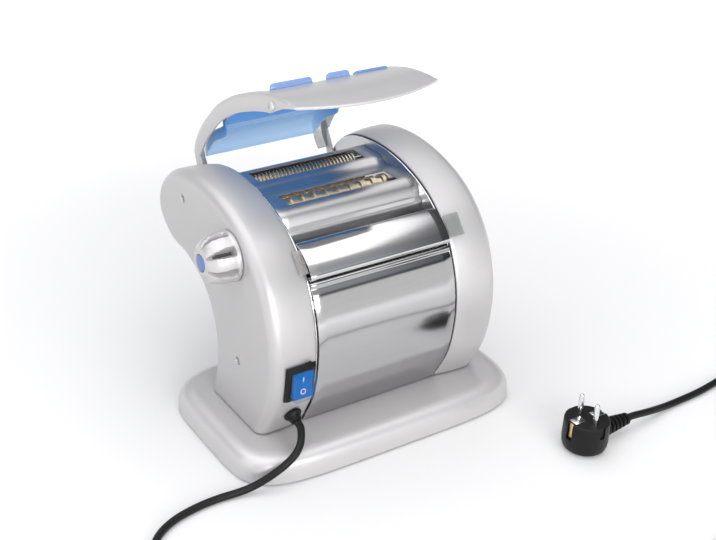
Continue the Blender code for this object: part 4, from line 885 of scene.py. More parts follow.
rings = [
    rounded_oblong(BASE_LENGTH - 2 * lean, BASE_DEPTH - 2 * lean, min(z, BASE_HEIGHT))
    for z, lean in BASE_STATIONS
]
points, faces = skin(rings, last=True)
base = from_points("base", points, (), faces)
modify(base, "SOLIDIFY", thickness=BASE_WALL, offset=-1.0)
finish_piece(base, "housing", SILVER_BASE, "silver_paint", "base_shell", angle=50.0)

# %% [markdown]
# Each casing is a deep shell, open towards the middle. Its skin is drawn over copies of the head's
# outline: close to the middle the crown drops a little, and at the outside the copies shrink round a
# quarter circle, which gives the broad soft roll into the flat side. A bevel could not round an edge this
# wide without a fold.

# %% The casings' skin
SIDE_GAP = 0.160
CASING_WIDTH = 0.048
CASING_WALL = 0.0022
CASING_ROLL = 0.011
CROWN_DROP = 0.004
ROLL_STEPS = 10
RIM_STATIONS = (
    (0.0, CROWN_DROP),
    (0.0006, CROWN_DROP - 0.0006),
    (0.004, 0.0028),
    (0.0105, 0.0016),
    (0.020, 0.0005),
    (0.030, 0.0),
)


def casing_skin(side):
    """Rings of the outline from the rim to the flat side. A station is a distance and how far it is inset."""
    inner = SIDE_GAP / 2
    outer = inner + CASING_WIDTH
    stations = [(inner + x, lower) for x, lower in RIM_STATIONS]
    for k in range(ROLL_STEPS + 1):
        turn = math.pi / 2 * k / ROLL_STEPS
        stations.append((outer - CASING_ROLL * (1 - math.sin(turn)), CASING_ROLL * (1 - math.cos(turn))))
    rings = [[(side * x, p.x, p.y) for p in inset(head, lower)] for x, lower in stations]
    return skin(rings, closed=False, last=True)


print("rings on a casing", len(RIM_STATIONS) + ROLL_STEPS + 1)

# %% [markdown]
# The skin is given its wall, trimmed level above the base, and drilled for its screws. The left casing
# also has the opening of the switch. The inner wall takes a darker copy of the paint as painted shade,
# since it faces the unlit inside.

# %% Casings
SCREWS = ((0.101 + BASE_Y, 0.215), (-0.007 + BASE_Y, 0.090))
SCREW_WELL = 0.0046
DRILL_REACH = 0.006
FOOT_GAP = 0.0012
SWITCH_OPENING = (0.0266, 0.0346, 0.028)
TRIM_AREA = (0.3, 0.4)
INWARD_SLOPE = -0.7
INNER_STRIP = 0.001
for name, side in (("left_casing_shell", -1), ("right_casing_shell", 1)):
    points, faces = casing_skin(side)
    if side > 0:
        faces = [tuple(reversed(face)) for face in faces]
    casing = from_points(name, points, (), faces)
    modify(casing, "SOLIDIFY", thickness=CASING_WALL, offset=-1.0)
    outer = side * (SIDE_GAP / 2 + CASING_WIDTH)
    trim = Matrix.Translation((outer, BASE_Y, BASE_HEIGHT))
    subtract(casing, block("foot_trim", (*TRIM_AREA, 2 * (GAP + FOOT_GAP)), trim))
    near = outer - DRILL_REACH
    far = outer + DRILL_REACH
    for y, z in SCREWS:
        drill = [(near, 0.0), (near, SCREW_WELL), (far, SCREW_WELL), (far, 0.0)]
        subtract(casing, spun("screw_hole", drill, y, z, steps=24))
    if side < 0:
        subtract(casing, block("switch_hole", SWITCH_OPENING, front_frame(SWITCH_X, SWITCH_Z, GAP)))
    finish_piece(casing, "housing", SILVER, "silver_paint", name.replace("_shell", ""), angle=40.0)
    # Painted shade: faces of the inner wall take the darker copy of the paint.
    casing.data.materials.append(SILVER_INNER_SHADE)
    for face in casing.data.polygons:
        faces_inside = face.normal.x * side < INWARD_SLOPE
        if faces_inside and abs(face.center.x) < SIDE_GAP / 2 + INNER_STRIP:
            face.material_index = 1

# %% [markdown]
# Two recessed screws hold each casing. The recess is a little cup with a rounded mouth, and the head in
# it has a cross slot, cut with two thin blocks. A dark dot in the paint would do from the front, but not
# from the side.

# %% Casing screws
WELL_DEPTH = 0.0036
HEAD_SUNK = 0.0016
HEAD_RADIUS = 0.0026
SLOT_SIZE = (0.0016, 0.0030, 0.0006)
SLOT_TURN = 0.5


def casing_screw(name, side, y, z):
    outer = side * (SIDE_GAP / 2 + CASING_WIDTH)
    inward = -side
    bottom = outer + inward * WELL_DEPTH
    cup = [
        (outer + side * 0.00015, SCREW_WELL + 0.0005),
        (outer, SCREW_WELL - 0.0001),
        (outer + inward * 0.0006, SCREW_WELL - 0.0005),
        (bottom, SCREW_WELL - 0.0008),
        (bottom, 0.0),
    ]
    well = spun(name + "_well", cup, y, z, steps=32)
    modify(well, "SOLIDIFY", thickness=0.0002, offset=0.0)
    finish_piece(well, "housing", SILVER, "silver_paint")
    top = outer + inward * HEAD_SUNK
    low = bottom - inward * 0.0002
    rim = top + inward * 0.0006
    head_profile = [(low, 0.0), (low, HEAD_RADIUS), (rim, HEAD_RADIUS), (top, 0.0019), (top, 0.0)]
    screw = spun(name, head_profile, y, z, steps=32)
    for turn in (SLOT_TURN, SLOT_TURN + math.pi / 2):
        crossing = Matrix.Translation((top, y, z)) @ Matrix.Rotation(turn, 4, "X")
        subtract(screw, block("slot", SLOT_SIZE, crossing))
    finish_piece(screw, "housing", MACHINED, "machined_steel")


for side, word in ((-1, "left"), (1, "right")):
    for number, (y, z) in enumerate(SCREWS, 1):
        casing_screw(f"{word}_casing_screw_{number}", side, y, z)

# %% [markdown]
# Inside each casing stands a steel plate that carries the rollers. Only its polished edge shows, as a
# thin bright line that follows the crown. It is the outline again, a little smaller, as a band that is
# extruded by the plate's thickness. The solid plate inside stays as it is.

# %% Side plate edges
PLATE_LOW = 0.0779
PLATE_HIGH = 0.0794
PLATE_SHIFT = 0.00005
BAND_OUTSIDE = CROWN_DROP + 0.0006
BAND_INSIDE = CROWN_DROP + 0.0086
for name, side in (("left_plate_edge", -1), ("right_plate_edge", 1)):
    edge = inset(head, BAND_OUTSIDE)
    inner_edge = inset(head, BAND_INSIDE)
    ring = [tuple(p) for p in edge] + [tuple(p) for p in reversed(inner_edge)]
    low, high = sorted((side * PLATE_LOW, side * PLATE_HIGH))
    points = [(x, y, z) for x in (low, high) for y, z in ring]
    count = len(ring)
    faces = []
    for i in range(len(edge) - 1):
        a, b, c, d = i, i + 1, count - 2 - i, count - 1 - i
        faces.append((a, b, c, d))
        faces.append((count + d, count + c, count + b, count + a))
    for i in range(count):
        j = (i + 1) % count
        faces.append((i, j, count + j, count + i))
    strip = tidy(from_points(name, points, (), faces))
    modify(strip, "BEVEL", width=0.00035, segments=2, limit_method="ANGLE", angle_limit=math.radians(50))
    strip.location.x = side * PLATE_SHIFT
    settle(strip)
    finish_piece(strip, "housing", EDGE_STEEL, "machined_steel", angle=40.0)

# %% [markdown]
# The sheets between the plates are bent along the machine's width. Each could be folded in edit mode,
# bend by bend. Here it is a line of points seen from the side, swept to its width, thickened and given
# rounded edges, because then its whole section can be read and changed in one list.

# %% Bent sheets
SHEET = 0.0012
SHEET_HALF = 0.0776
SHEET_EDGE = 0.0003
SHEET_PARTS = 16


def bent_sheet(name, section, steps, turn=1.0):
    """A sheet with this section, smoothed in steps. The turn says to which side it is thick."""
    line = smooth(section, steps)
    rings = []
    for k in range(SHEET_PARTS + 1):
        x = -SHEET_HALF + 2 * SHEET_HALF * k / SHEET_PARTS
        rings.append([(x, p.x + BASE_Y, p.y) for p in line])
    points, faces = skin(rings, closed=False)
    sheet = from_points(name, points, (), faces)
    modify(sheet, "SOLIDIFY", thickness=SHEET, offset=turn, use_even_offset=True)
    modify(sheet, "BEVEL", width=SHEET_EDGE, segments=2, limit_method="ANGLE", angle_limit=math.radians(60))
    return sheet


print("bent sheets ready")

# %% [markdown]
# The top cover carries the two slots that the dough is cut through. It is nearly flat over both pairs of
# cutters, dips between them, and rolls down at the front, so it is a bent sheet as well. Each slot is cut
# with a block whose edges are rounded first, so that the slot's corners are round.

# %% Top cover
WIDE_Y = 0.023
FINE_Y = 0.080
COVER_Z = 0.2295
BACK_Z = 0.2310
SLOT_TOOL = (0.123, 0.024, 0.012)
SLOT_CORNER = 0.0012
cover_section = (
    (0.1022, 0.2179),
    (0.1004, 0.2266),
    (0.0974, 0.2310),
    (0.0860, 0.2311),
    (0.0656, 0.2310),
    (0.0590, 0.2274),
    (0.0520, 0.2262),
    (0.0440, 0.2274),
    (0.0374, 0.2295),
    (0.0230, 0.2296),
    (0.0092, 0.2295),
    (0.0020, 0.2246),
    (-0.0012, 0.2188),
    (-0.0030, 0.2135),
    (-0.0052, 0.2116),
    (-0.0078, 0.2088),
    (-0.0085, 0.1990),
)
cover = bent_sheet("cover_sheet", cover_section, steps=4, turn=-1.0)
for middle, top in ((WIDE_Y, COVER_Z), (FINE_Y, BACK_Z)):
    window = block("slot", SLOT_TOOL, Matrix.Translation((0.0, middle + BASE_Y, top)))
    modify(window, "BEVEL", width=SLOT_CORNER, segments=3)
    subtract(cover, window)
finish_piece(cover, "housing", COVER_STEEL, "polished_steel", "top_cover", angle=30.0)

# %% [markdown]
# The guide plate in front of the feed slot is a convex polished sheet whose lower edge rolls under. At
# each end a small clear ear lies over the casing's rim and holds it, so that it can be lifted off for
# cleaning. The ears are flat, so a block with soft edges, set on the head's front, is enough.

# %% Guide plate
GUIDE_FOOT_Z = 0.18752
GUIDE_LIFT = 0.0014
GUIDE_TOP = 0.2089
EAR_LIFT = 0.0004
EAR_THICKNESS = 0.0018
plate_point, plate_out = front_at(GUIDE_FOOT_Z)[:2]
foot = plate_point + plate_out * GUIDE_LIFT
foot_y = foot.x - BASE_Y
foot_z = foot.y
guide_section = (
    (-0.0240, 0.1925),
    (-0.0241, 0.2030),
    (-0.0248, 0.2072),
    (-0.0268, GUIDE_TOP),
    (-0.0300, 0.2086),
    (-0.0360, 0.2060),
    (-0.0430, 0.2012),
    (-0.0490, 0.1956),
    (-0.0532, 0.1905),
    (foot_y, foot_z),
    (foot_y + 0.0005, foot_z - 0.0026),
    (foot_y + 0.0026, foot_z - 0.0034),
    (foot_y + 0.0052, foot_z - 0.0022),
)
guide = bent_sheet("guide_sheet", guide_section, steps=5)
finish_piece(guide, "housing", POLISHED, "polished_steel", "guide_plate", angle=30.0)
for name, middle, z, size, clear in (
    ("left_guide_ear", -0.0830, 0.2000, (0.0090, 0.0230), SMOKE_CLEAR),
    ("right_guide_ear", 0.0880, 0.1975, (0.0170, 0.0225), GREY_CLEAR),
):
    ear = block(name, (*size, EAR_THICKNESS), front_frame(middle, z, EAR_LIFT))
    modify(ear, "BEVEL", width=0.0007, segments=3)
    finish_piece(ear, "housing", clear, "clear_plastic")

# %% [markdown]
# The front panel is one sheet from the base to the feed rollers. It follows the head's outline, a little
# inside it, and takes every second point of it, because a bent sheet is smoothed again. At the top it is
# bent over into a full round bead, and a crease below the bead catches a dark line. The front is left
# plain.

# %% Front panel
PANEL_INSET = 0.0026
PANEL_TOP = 0.1765
PANEL_BACK = BASE_Y - 0.03
CREASE_RISE = 0.0008
BEAD = (
    (-0.0012, 0.0000),
    (-0.0007, 0.0016),
    (0.0003, 0.0030),
    (0.0005, 0.0046),
    (-0.0002, 0.0062),
    (-0.0016, 0.0074),
    (-0.0032, 0.0078),
)
panel_line = [p for p in inset(head, PANEL_INSET) if p.y < PANEL_TOP and p.x < PANEL_BACK]
panel_section = [(p.x - BASE_Y, p.y) for p in panel_line[::2]]
crease_point, crease_out, crease_rise = front_at(PANEL_TOP + CREASE_RISE)
origin = crease_point - crease_out * PANEL_INSET
for out_by, up_by in BEAD:
    spot = origin + crease_out * out_by + crease_rise * up_by
    panel_section.append((spot.x - BASE_Y, spot.y))
panel = bent_sheet("panel_sheet", panel_section, steps=3)
finish_piece(panel, "housing", PANEL_STEEL, "polished_steel", "front_panel", angle=30.0)

# %% [markdown]
# The two smooth rollers press the dough. They are turned on a lathe, and Spin does the same: a line of
# distance and radius goes round the axis. A cylinder with bevels would be as good for a plain roller, but
# the line also holds the thin shafts at both ends.

# %% Rollers
ROLLER_HALF = 0.072
ROLLER_RADIUS = 0.0155
ROLLER_EDGE = 0.0006
SHAFT_RADIUS = 0.0050
SHAFT_EDGE = 0.0004
SHAFT_LEFT = -0.0845
LONG_SHAFT = 0.0975
SHORT_SHAFT = 0.0905


def turned_roller(name, y, z, right_end):
    profile = [
        (SHAFT_LEFT, 0.0),
        (SHAFT_LEFT, SHAFT_RADIUS - SHAFT_EDGE),
        (SHAFT_LEFT + SHAFT_EDGE, SHAFT_RADIUS),
        (-ROLLER_HALF, SHAFT_RADIUS),
        (-ROLLER_HALF, ROLLER_RADIUS - ROLLER_EDGE),
        (-ROLLER_HALF + ROLLER_EDGE, ROLLER_RADIUS),
        (ROLLER_HALF - ROLLER_EDGE, ROLLER_RADIUS),
        (ROLLER_HALF, ROLLER_RADIUS - ROLLER_EDGE),
        (ROLLER_HALF, SHAFT_RADIUS),
        (right_end - SHAFT_EDGE, SHAFT_RADIUS),
        (right_end, SHAFT_RADIUS - SHAFT_EDGE),
        (right_end, 0.0),
    ]
    roller = spun(name + "_turned", profile, y, z, steps=72)
    finish_piece(roller, name, POLISHED, "polished_steel", name)


turned_roller("front_roller", -0.0335 + BASE_Y, 0.1745, LONG_SHAFT)
turned_roller("rear_roller", -0.00045 + BASE_Y, 0.17856, SHORT_SHAFT)

# %% [markdown]
# The cutters are rows of square rings. Each cutter's gaps take the rings of the one beside it, and the
# dough is cut where they pass. One function turns both kinds, from the pitch and the number of the rings.

# %% Cutters
RING_RADIUS = 0.0105
GROOVE_RADIUS = 0.0085
RING_EDGE = 0.0002
RING_PLAY = 0.0003
CUTTER_SHAFT = 0.004
CUTTER_LEFT = -0.0806
WIDE_PITCH = 0.013
FINE_PITCH = 0.004


def ring_cutter(name, y, z, pitch, count, right_end):
    half_ring = (pitch / 2 - RING_PLAY) / 2
    span = (count - 1) * pitch / 2
    shoulder = RING_RADIUS - RING_EDGE
    profile = [(CUTTER_LEFT, 0.0), (CUTTER_LEFT, CUTTER_SHAFT), (-span - half_ring, CUTTER_SHAFT)]
    for k in range(count):
        low = k * pitch - span - half_ring
        high = k * pitch - span + half_ring
        profile += [(low, shoulder), (low + RING_EDGE, RING_RADIUS)]
        profile += [(high - RING_EDGE, RING_RADIUS), (high, shoulder)]
        if k < count - 1:
            profile += [(high, GROOVE_RADIUS), (low + pitch, GROOVE_RADIUS)]
    profile += [(span + half_ring, CUTTER_SHAFT), (right_end, CUTTER_SHAFT), (right_end, 0.0)]
    cutter = spun(name + "_turned", profile, y, z, steps=40)
    finish_piece(cutter, name, STRAW, "straw_steel", name, angle=30.0)


ring_cutter("wide_front_cutter", 0.013 + BASE_Y, 0.216, WIDE_PITCH, 9, LONG_SHAFT)
ring_cutter("wide_rear_cutter", 0.033 + BASE_Y, 0.216, WIDE_PITCH, 10, SHORT_SHAFT)
ring_cutter("fine_front_cutter", 0.070 + BASE_Y, 0.218, FINE_PITCH, 29, SHORT_SHAFT)
ring_cutter("fine_rear_cutter", 0.090 + BASE_Y, 0.218, FINE_PITCH, 30, SHORT_SHAFT)

# %% [markdown]
# The knob is a moulded cap with seven lobes on a round disc. Cutting seven grooves with Booleans would
# leave sharp edges. So it is drawn as rings: each is a circle whose radius dips between the lobes,
# deepest near the disc and fading towards the front. A ring is given by its distance from the back, its
# radius, the depth of its dips and their width, as a share of a lobe.

# %% Knob
KNOB_Y = 0.003 + BASE_Y
KNOB_Z = 0.198
KNOB_BACK = -0.1283
KNOB_LENGTH = 0.0310
KNOB_POINTS = 210
LOBES = 7
LOBE_TURN = 0.2
GROOVE_POWER = 0.7
KNOB_RINGS = (
    (0.0000, 0.0020, 0.0000, 0.5),
    (0.0000, 0.0232, 0.0000, 0.5),
    (0.0006, 0.0243, 0.0000, 0.5),
    (0.0024, 0.0245, 0.0000, 0.5),
    (0.0042, 0.0243, 0.0000, 0.5),
    (0.0048, 0.0240, 0.0060, 0.62),
    (0.0052, 0.0240, 0.0112, 0.66),
    (0.0100, 0.0240, 0.0112, 0.64),
    (0.0150, 0.0236, 0.0106, 0.60),
    (0.0190, 0.0228, 0.0094, 0.54),
    (0.0220, 0.0217, 0.0080, 0.48),
    (0.0245, 0.0202, 0.0064, 0.42),
    (0.0268, 0.0183, 0.0056, 0.42),
    (0.0286, 0.0163, 0.0036, 0.36),
    (0.0300, 0.0142, 0.0008, 0.30),
    (0.0307, 0.0122, 0.0000, 0.5),
    (KNOB_LENGTH, 0.0104, 0.0000, 0.5),
    (0.0308, 0.0086, 0.0000, 0.5),
    (0.0300, 0.0083, 0.0000, 0.5),
    (0.0250, 0.0083, 0.0000, 0.5),
)


def lobed_ring(x, radius, depth, spread):
    """A ring with a groove between each two lobes."""
    ring = []
    for i in range(KNOB_POINTS):
        a = 2 * math.pi * i / KNOB_POINTS
        wave = abs(math.sin((a + LOBE_TURN) * LOBES / 2)) / spread
        r = radius - depth * max(0.0, 1 - wave ** 2) ** GROOVE_POWER
        ring.append((x, KNOB_Y + r * math.cos(a), KNOB_Z + r * math.sin(a)))
    return ring


rings = [lobed_ring(KNOB_BACK - out, r, dip, spread) for out, r, dip, spread in KNOB_RINGS]
points, faces = skin(rings, first=True, last=True)
knob = tidy(from_points("lobed_knob", points, (), faces))
finish_piece(knob, "thickness_knob", SILVER_KNOB, "silver_paint", "thickness_knob")

# %% [markdown]
# The bottoms of the knob's grooves are darker, because little light gets in. Their faces are found by
# their distance from the axis and from the back. A blue button sits in the middle of the front.

# %% The knob's grooves and button
GROOVE_FLOOR = 0.0158
GROOVE_START = 0.0052
GROOVE_END = 0.0235
# Painted shade: the groove bottoms take the darker copy of the paint.
knob.data.materials.append(SILVER_HOLLOW_SHADE)
for face in knob.data.polygons:
    off_axis = math.hypot(face.center.y - KNOB_Y, face.center.z - KNOB_Z)
    if off_axis < GROOVE_FLOOR and GROOVE_START < KNOB_BACK - face.center.x < GROOVE_END:
        face.material_index = 1
knob_face = KNOB_BACK - KNOB_LENGTH
button_profile = [
    (knob_face + 0.0060, 0.0),
    (knob_face + 0.0060, 0.0080),
    (knob_face + 0.0004, 0.0080),
    (knob_face - 0.0002, 0.0077),
    (knob_face - 0.0006, 0.0068),
    (knob_face - 0.0009, 0.0045),
    (knob_face - 0.0009, 0.0),
]
button = spun("knob_button_cap", button_profile, KNOB_Y, KNOB_Z)
finish_piece(button, "knob_button", BUTTON, "switch_blue", "knob_button")

# %% [markdown]
# The switch sits in the front of the left casing. A black frame with bevelled edges surrounds a well. It
# is a block whose front face is made smaller, joined to a skirt that goes into the casing, and then
# hollowed.

# %% Switch frame
SWITCH_FRAME = front_frame(SWITCH_X, SWITCH_Z, GAP)
SWITCH_SIZE = (0.032, 0.040)
SWITCH_FLANGE = 0.0045
SWITCH_DEPTH = 0.014
SKIRT_SIZE = (0.026, 0.034)
SKIRT_OVERLAP = 0.0005
WELL_SIZE = (0.0212, 0.0294, 0.0290)
WELL_RISE = 0.0052
FRONT_SHARE = 0.86


def in_switch(z):
    """The switch's own frame, moved out of the casing's front by z."""
    return SWITCH_FRAME @ Matrix.Translation((0.0, 0.0, z))


bezel = block("switch_frame", (*SWITCH_SIZE, SWITCH_FLANGE), in_switch(SWITCH_FLANGE / 2))
edit(bezel)
out_axis = SWITCH_FRAME.to_3x3() @ Vector((0.0, 0.0, 1.0))
pick(bezel, "faces", lambda f: f.normal.dot(out_axis) > 0.9)
bpy.ops.transform.resize(
    value=(FRONT_SHARE, FRONT_SHARE, FRONT_SHARE),
    center_override=tuple(in_switch(SWITCH_FLANGE).translation),
)
done()
modify(bezel, "BEVEL", width=0.0009, segments=3)
skirt_middle = in_switch(SKIRT_OVERLAP - SWITCH_DEPTH / 2)
unite(bezel, block("switch_skirt", (*SKIRT_SIZE, SWITCH_DEPTH), skirt_middle))
subtract(bezel, block("switch_well", WELL_SIZE, in_switch(WELL_RISE)))
finish_piece(bezel, "housing", BLACK, "black_plastic", "switch_bezel")

# %% [markdown]
# In the well a blue rocker tilts about its middle. A tilted cube would lack its two dished halves. So its
# section is drawn from the side and extruded, and it is then set in its tilted place.

# %% Rocker
TILT = math.radians(7.0)
PIVOT = 0.0015
ROCKER_HALF = 0.010
rocker_frame = in_switch(PIVOT) @ Matrix.Rotation(-TILT, 4, "X")
rocker_section = (
    (-0.0059, -0.0063),
    (0.0059, -0.0063),
    (0.0130, -0.0010),
    (0.0130, 0.0072),
    (0.0085, 0.0060),
    (0.0, 0.0050),
    (-0.0085, 0.0060),
    (-0.0130, 0.0072),
    (-0.0130, -0.0010),
)
rocker = slab("rocker_key", rocker_section, -ROCKER_HALF, ROCKER_HALF)
rocker.matrix_world = rocker_frame
settle(rocker)
modify(rocker, "BEVEL", width=0.0006, segments=3, limit_method="ANGLE", angle_limit=math.radians(40))
finish_piece(rocker, "switch_rocker", ROCKER_BLUE, "switch_blue", "switch_rocker")

# %% [markdown]
# The rocker carries the usual line and circle. A picture of them would blur close by, so each is a letter
# that is made a mesh and laid on the rocker's slope.

# %% The rocker's marks
MARK_THICKNESS = 0.00012
MARK_HEIGHT = 0.00575
MARK_LEAN = math.radians(7.5)
MARK_Y = 0.0066


def mark(name, letter, y, lean, size):
    """A white mark on the rocker, from a letter made a mesh."""
    deselect()
    bpy.ops.object.text_add()
    obj = bpy.context.object
    obj.name = name
    obj.data.body = letter
    obj.data.size = size
    obj.data.extrude = MARK_THICKNESS
    obj.data.align_x = "CENTER"
    obj.data.align_y = "CENTER"
    bpy.ops.object.convert(target="MESH")
    spot = Matrix.Translation((0.0, y, MARK_HEIGHT))
    obj.matrix_world = rocker_frame @ spot @ Matrix.Rotation(lean, 4, "X")
    settle(obj)
    finish_piece(obj, "switch_rocker", MARK, "switch_blue", angle=None)


mark("mark_on", "I", MARK_Y, MARK_LEAN, 0.0085)
mark("mark_off", "O", -MARK_Y, -MARK_LEAN, 0.0078)

# %% [markdown]
# A clear cover over frame and rocker keeps flour out. It is a soft box with round corners, drawn as rings
# that shrink towards the front, because a bevelled cube would round its corners and its front edge alike.

# %% Clear switch cover
COVER_SIZE = (0.0232, 0.0314)
CORNER_STEPS = 6
COVER_RINGS = (
    (0.0048, 0.0, 0.0022),
    (0.0100, 0.0003, 0.0024),
    (0.0120, 0.0008, 0.0026),
    (0.0129, 0.0018, 0.0030),
    (0.0130, 0.0034, 0.0030),
)


def cover_ring(z, shrink, corner):
    """A round-cornered oblong at height z, made smaller by shrink, with this corner radius."""
    w = COVER_SIZE[0] / 2 - shrink - corner
    h = COVER_SIZE[1] / 2 - shrink - corner
    ring = []
    for sx, sy, start in ((1, 1, 0), (-1, 1, 90), (-1, -1, 180), (1, -1, 270)):
        for k in range(CORNER_STEPS + 1):
            a = math.radians(start + 90 / CORNER_STEPS * k)
            local = Vector((sx * w + corner * math.cos(a), sy * h + corner * math.sin(a), z))
            ring.append(tuple(SWITCH_FRAME @ local))
    return ring


points, faces = skin([cover_ring(*row) for row in COVER_RINGS], last=True)
splash = from_points("splash_cover", points, (), faces)
modify(splash, "SOLIDIFY", thickness=0.0008, offset=-1.0)
finish_piece(splash, "housing", COVER_CLEAR, "clear_plastic", "switch_cover", angle=50.0)

# %% [markdown]
# The gland that holds the lead is a round black fitting: a flange against the casing, a neck, and a soft
# mouth that the lead leaves through. All of it is round, so it is turned along its own axis and then set
# on the casing's front.

# %% Cord gland
GLAND_Z = 0.053
GLAND_FRAME = front_frame(SWITCH_X, GLAND_Z, 0.0)
gland_profile = [
    (-0.0050, 0.0),
    (-0.0050, 0.0060),
    (0.0002, 0.0060),
    (0.0003, 0.0084),
    (0.0010, 0.0088),
    (0.0026, 0.0086),
    (0.0034, 0.0076),
    (0.0048, 0.0066),
    (0.0064, 0.0060),
    (0.0085, 0.0054),
    (0.0097, 0.0050),
    (0.0100, 0.0044),
    (0.0096, 0.0038),
    (0.0080, 0.0036),
    (0.0080, 0.0),
]
gland = spun("lead_gland", gland_profile, 0.0, 0.0, steps=40)
gland.matrix_world = GLAND_FRAME @ Matrix.Rotation(-math.pi / 2, 4, "Y")
settle(gland)
finish_piece(gland, "housing", BLACK, "black_plastic", "cord_gland")

# %% [markdown]
# The plug is an angled two-pin mains plug with side earth contacts. It stands on its back on the floor,
# with its pins up. The round body is turned, and a nose towards the lead is joined to it. Slots for the
# earth contacts, the pins' holes and two keying grooves are then cut.

# %% Plug body
PIN_Y = 0.0105
PIN_HOLE_RADIUS = 0.0029
EARTH_SLOT = (0.0040, 0.0068, 0.0190)
EARTH_SLOT_X = 0.0212
EARTH_SLOT_Z = 0.0255
KEY_GROOVE = (0.0060, 0.0026, 0.0140)
KEY_GROOVE_Y = 0.0218
KEY_GROOVE_Z = 0.0290


def upright(name, profile, x, y, steps=32):
    """A piece turned about a vertical line: points of height and radius."""
    obj = spun(name, profile, 0.0, 0.0, steps)
    obj.matrix_world = Matrix.Translation((x, y, 0.0)) @ Matrix.Rotation(-math.pi / 2, 4, "Y")
    return settle(obj)


plug_profile = [
    (0.0, 0.0),
    (0.0, 0.0150),
    (0.0012, 0.0182),
    (0.0036, 0.0208),
    (0.0070, 0.0220),
    (0.0120, PLUG_RADIUS),
    (0.0240, 0.0223),
    (0.0318, 0.0221),
    (0.0333, 0.0216),
    (PLUG_HEIGHT, 0.0204),
    (PLUG_HEIGHT, 0.0),
]
plug = upright("plug_moulding", plug_profile, PLUG_X, PLUG_Y, steps=64)
nose = [
    (PLUG_X, 0.0),
    (PLUG_X, 0.0136),
    (PLUG_X + 0.014, 0.0130),
    (PLUG_X + 0.0212, 0.0108),
    (PLUG_X + 0.0227, 0.0086),
    (PLUG_X + 0.0227, 0.0),
]
unite(plug, spun("nose", nose, PLUG_Y, PLUG_EXIT_Z, steps=32))
hole = [(0.0280, 0.0), (0.0280, PIN_HOLE_RADIUS), (0.0380, PIN_HOLE_RADIUS), (0.0380, 0.0)]
for side in (-1, 1):
    slot_spot = Matrix.Translation((PLUG_X + side * EARTH_SLOT_X, PLUG_Y, EARTH_SLOT_Z))
    subtract(plug, block("earth_slot", EARTH_SLOT, slot_spot))
    subtract(plug, upright("pin_hole", hole, PLUG_X, PLUG_Y + side * PIN_Y, steps=24))
    groove_spot = Matrix.Translation((PLUG_X, PLUG_Y + side * KEY_GROOVE_Y, KEY_GROOVE_Z))
    subtract(plug, block("key_groove", KEY_GROOVE, groove_spot))
finish_piece(plug, "housing", BLACK, "black_plastic", "plug_body", angle=30.0)

# %% [markdown]
# The two pins are nickelled rods with round ends, turned like the body. The earth contacts bend over the
# plug's face, where they show as two bright plates. A bevelled block is enough for those.

# %% Pins and earth plates
PLATE_SIZE = (0.0124, 0.0092, 0.0008)
PLATE_X = 0.0122
PLATE_Z = 0.0346
pin_profile = [
    (0.0284, 0.0),
    (0.0284, 0.0026),
    (0.0524, 0.0026),
    (0.0538, 0.0023),
    (0.0546, 0.0017),
    (0.0550, 0.0008),
    (0.0550, 0.0),
]
pins = []
for name, side, node in (("front_pin", -1, "plug_pin_front"), ("rear_pin", 1, "plug_pin_rear")):
    pin = upright(name, pin_profile, PLUG_X, PLUG_Y + side * PIN_Y)
    finish_piece(pin, "housing", NICKEL, "nickel", node)
    plate_spot = Matrix.Translation((PLUG_X + side * PLATE_X, PLUG_Y, PLATE_Z))
    plate = block("earth_plate", PLATE_SIZE, plate_spot)
    modify(plate, "BEVEL", width=0.0003, segments=2, limit_method="ANGLE")
    finish_piece(plate, "housing", NICKEL, "nickel")
    pins += [pin, plate]

# %% [markdown]
# A ribbed sleeve keeps the lead from kinking where it leaves the plug. It is turned too. One rib's shape
# is written down, and a loop repeats it, each time a little smaller.

# %% Ribbed sleeve
RIBS = 6
RIB_PITCH = 0.0054
RIB_RADIUS = 0.0092
RIB_TAPER = 0.0036
RIB_FLOOR = 0.76
RIB_START = 0.0006
RIB_SHAPE = (
    (0.0, RIB_FLOOR),
    (0.0007, RIB_FLOOR),
    (0.0009, 1.0),
    (0.0038, 0.99),
    (0.0042, RIB_FLOOR),
)
sleeve_start = PLUG_X + PLUG_RADIUS
sleeve_end = sleeve_start + RELIEF_LENGTH
relief_profile = [(sleeve_start + GAP, 0.0)]
for k in range(RIBS):
    start = sleeve_start + RIB_START + k * RIB_PITCH
    radius = RIB_RADIUS - RIB_TAPER * k / RIBS
    relief_profile += [(start + along, radius * share) for along, share in RIB_SHAPE]
relief_profile += [(sleeve_end, 0.0044), (sleeve_end, 0.0)]
relief = spun("ribbed_relief", relief_profile, PLUG_Y, PLUG_EXIT_Z, steps=32)
finish_piece(relief, "housing", BLACK, "black_plastic", "plug_relief")

# %% [markdown]
# The plug and its small parts hang on the lead's far end. This cell prints a count of those pieces.

# %% Pieces on the lead's far end
print("pieces on the lead's far end:", len(pins) + 4)

# %% [markdown]
# The lid stands open. Its frame is a curved silver plate with two arms that reach down to the hinges.
# Seen from the side both follow one arc, which is written as shares of the lid's reach from the hinge, so
# that the lid keeps its form when it is made longer.

# %% The lid's arc
HINGE_Y = 0.151 + BASE_Y
HINGE_Z = 0.191
LID_REACH = 0.227
LID_STEPS = 6
LID_SHARES = (
    (-0.762, 0.648),
    (-0.670, 0.651),
    (-0.581, 0.643),
    (-0.485, 0.621),
    (-0.379, 0.586),
    (-0.278, 0.546),
    (-0.203, 0.507),
    (-0.110, 0.449),
    (-0.031, 0.379),
    (0.044, 0.300),
    (0.097, 0.220),
    (0.115, 0.163),
    (0.094, 0.106),
    (0.058, 0.062),
)
lid_line = smooth(
    [(HINGE_Y + u * LID_REACH, HINGE_Z + v * LID_REACH) for u, v in LID_SHARES],
    LID_STEPS,
)
lid_end = len(lid_line) - 1
PLATE_END = 3 * LID_STEPS


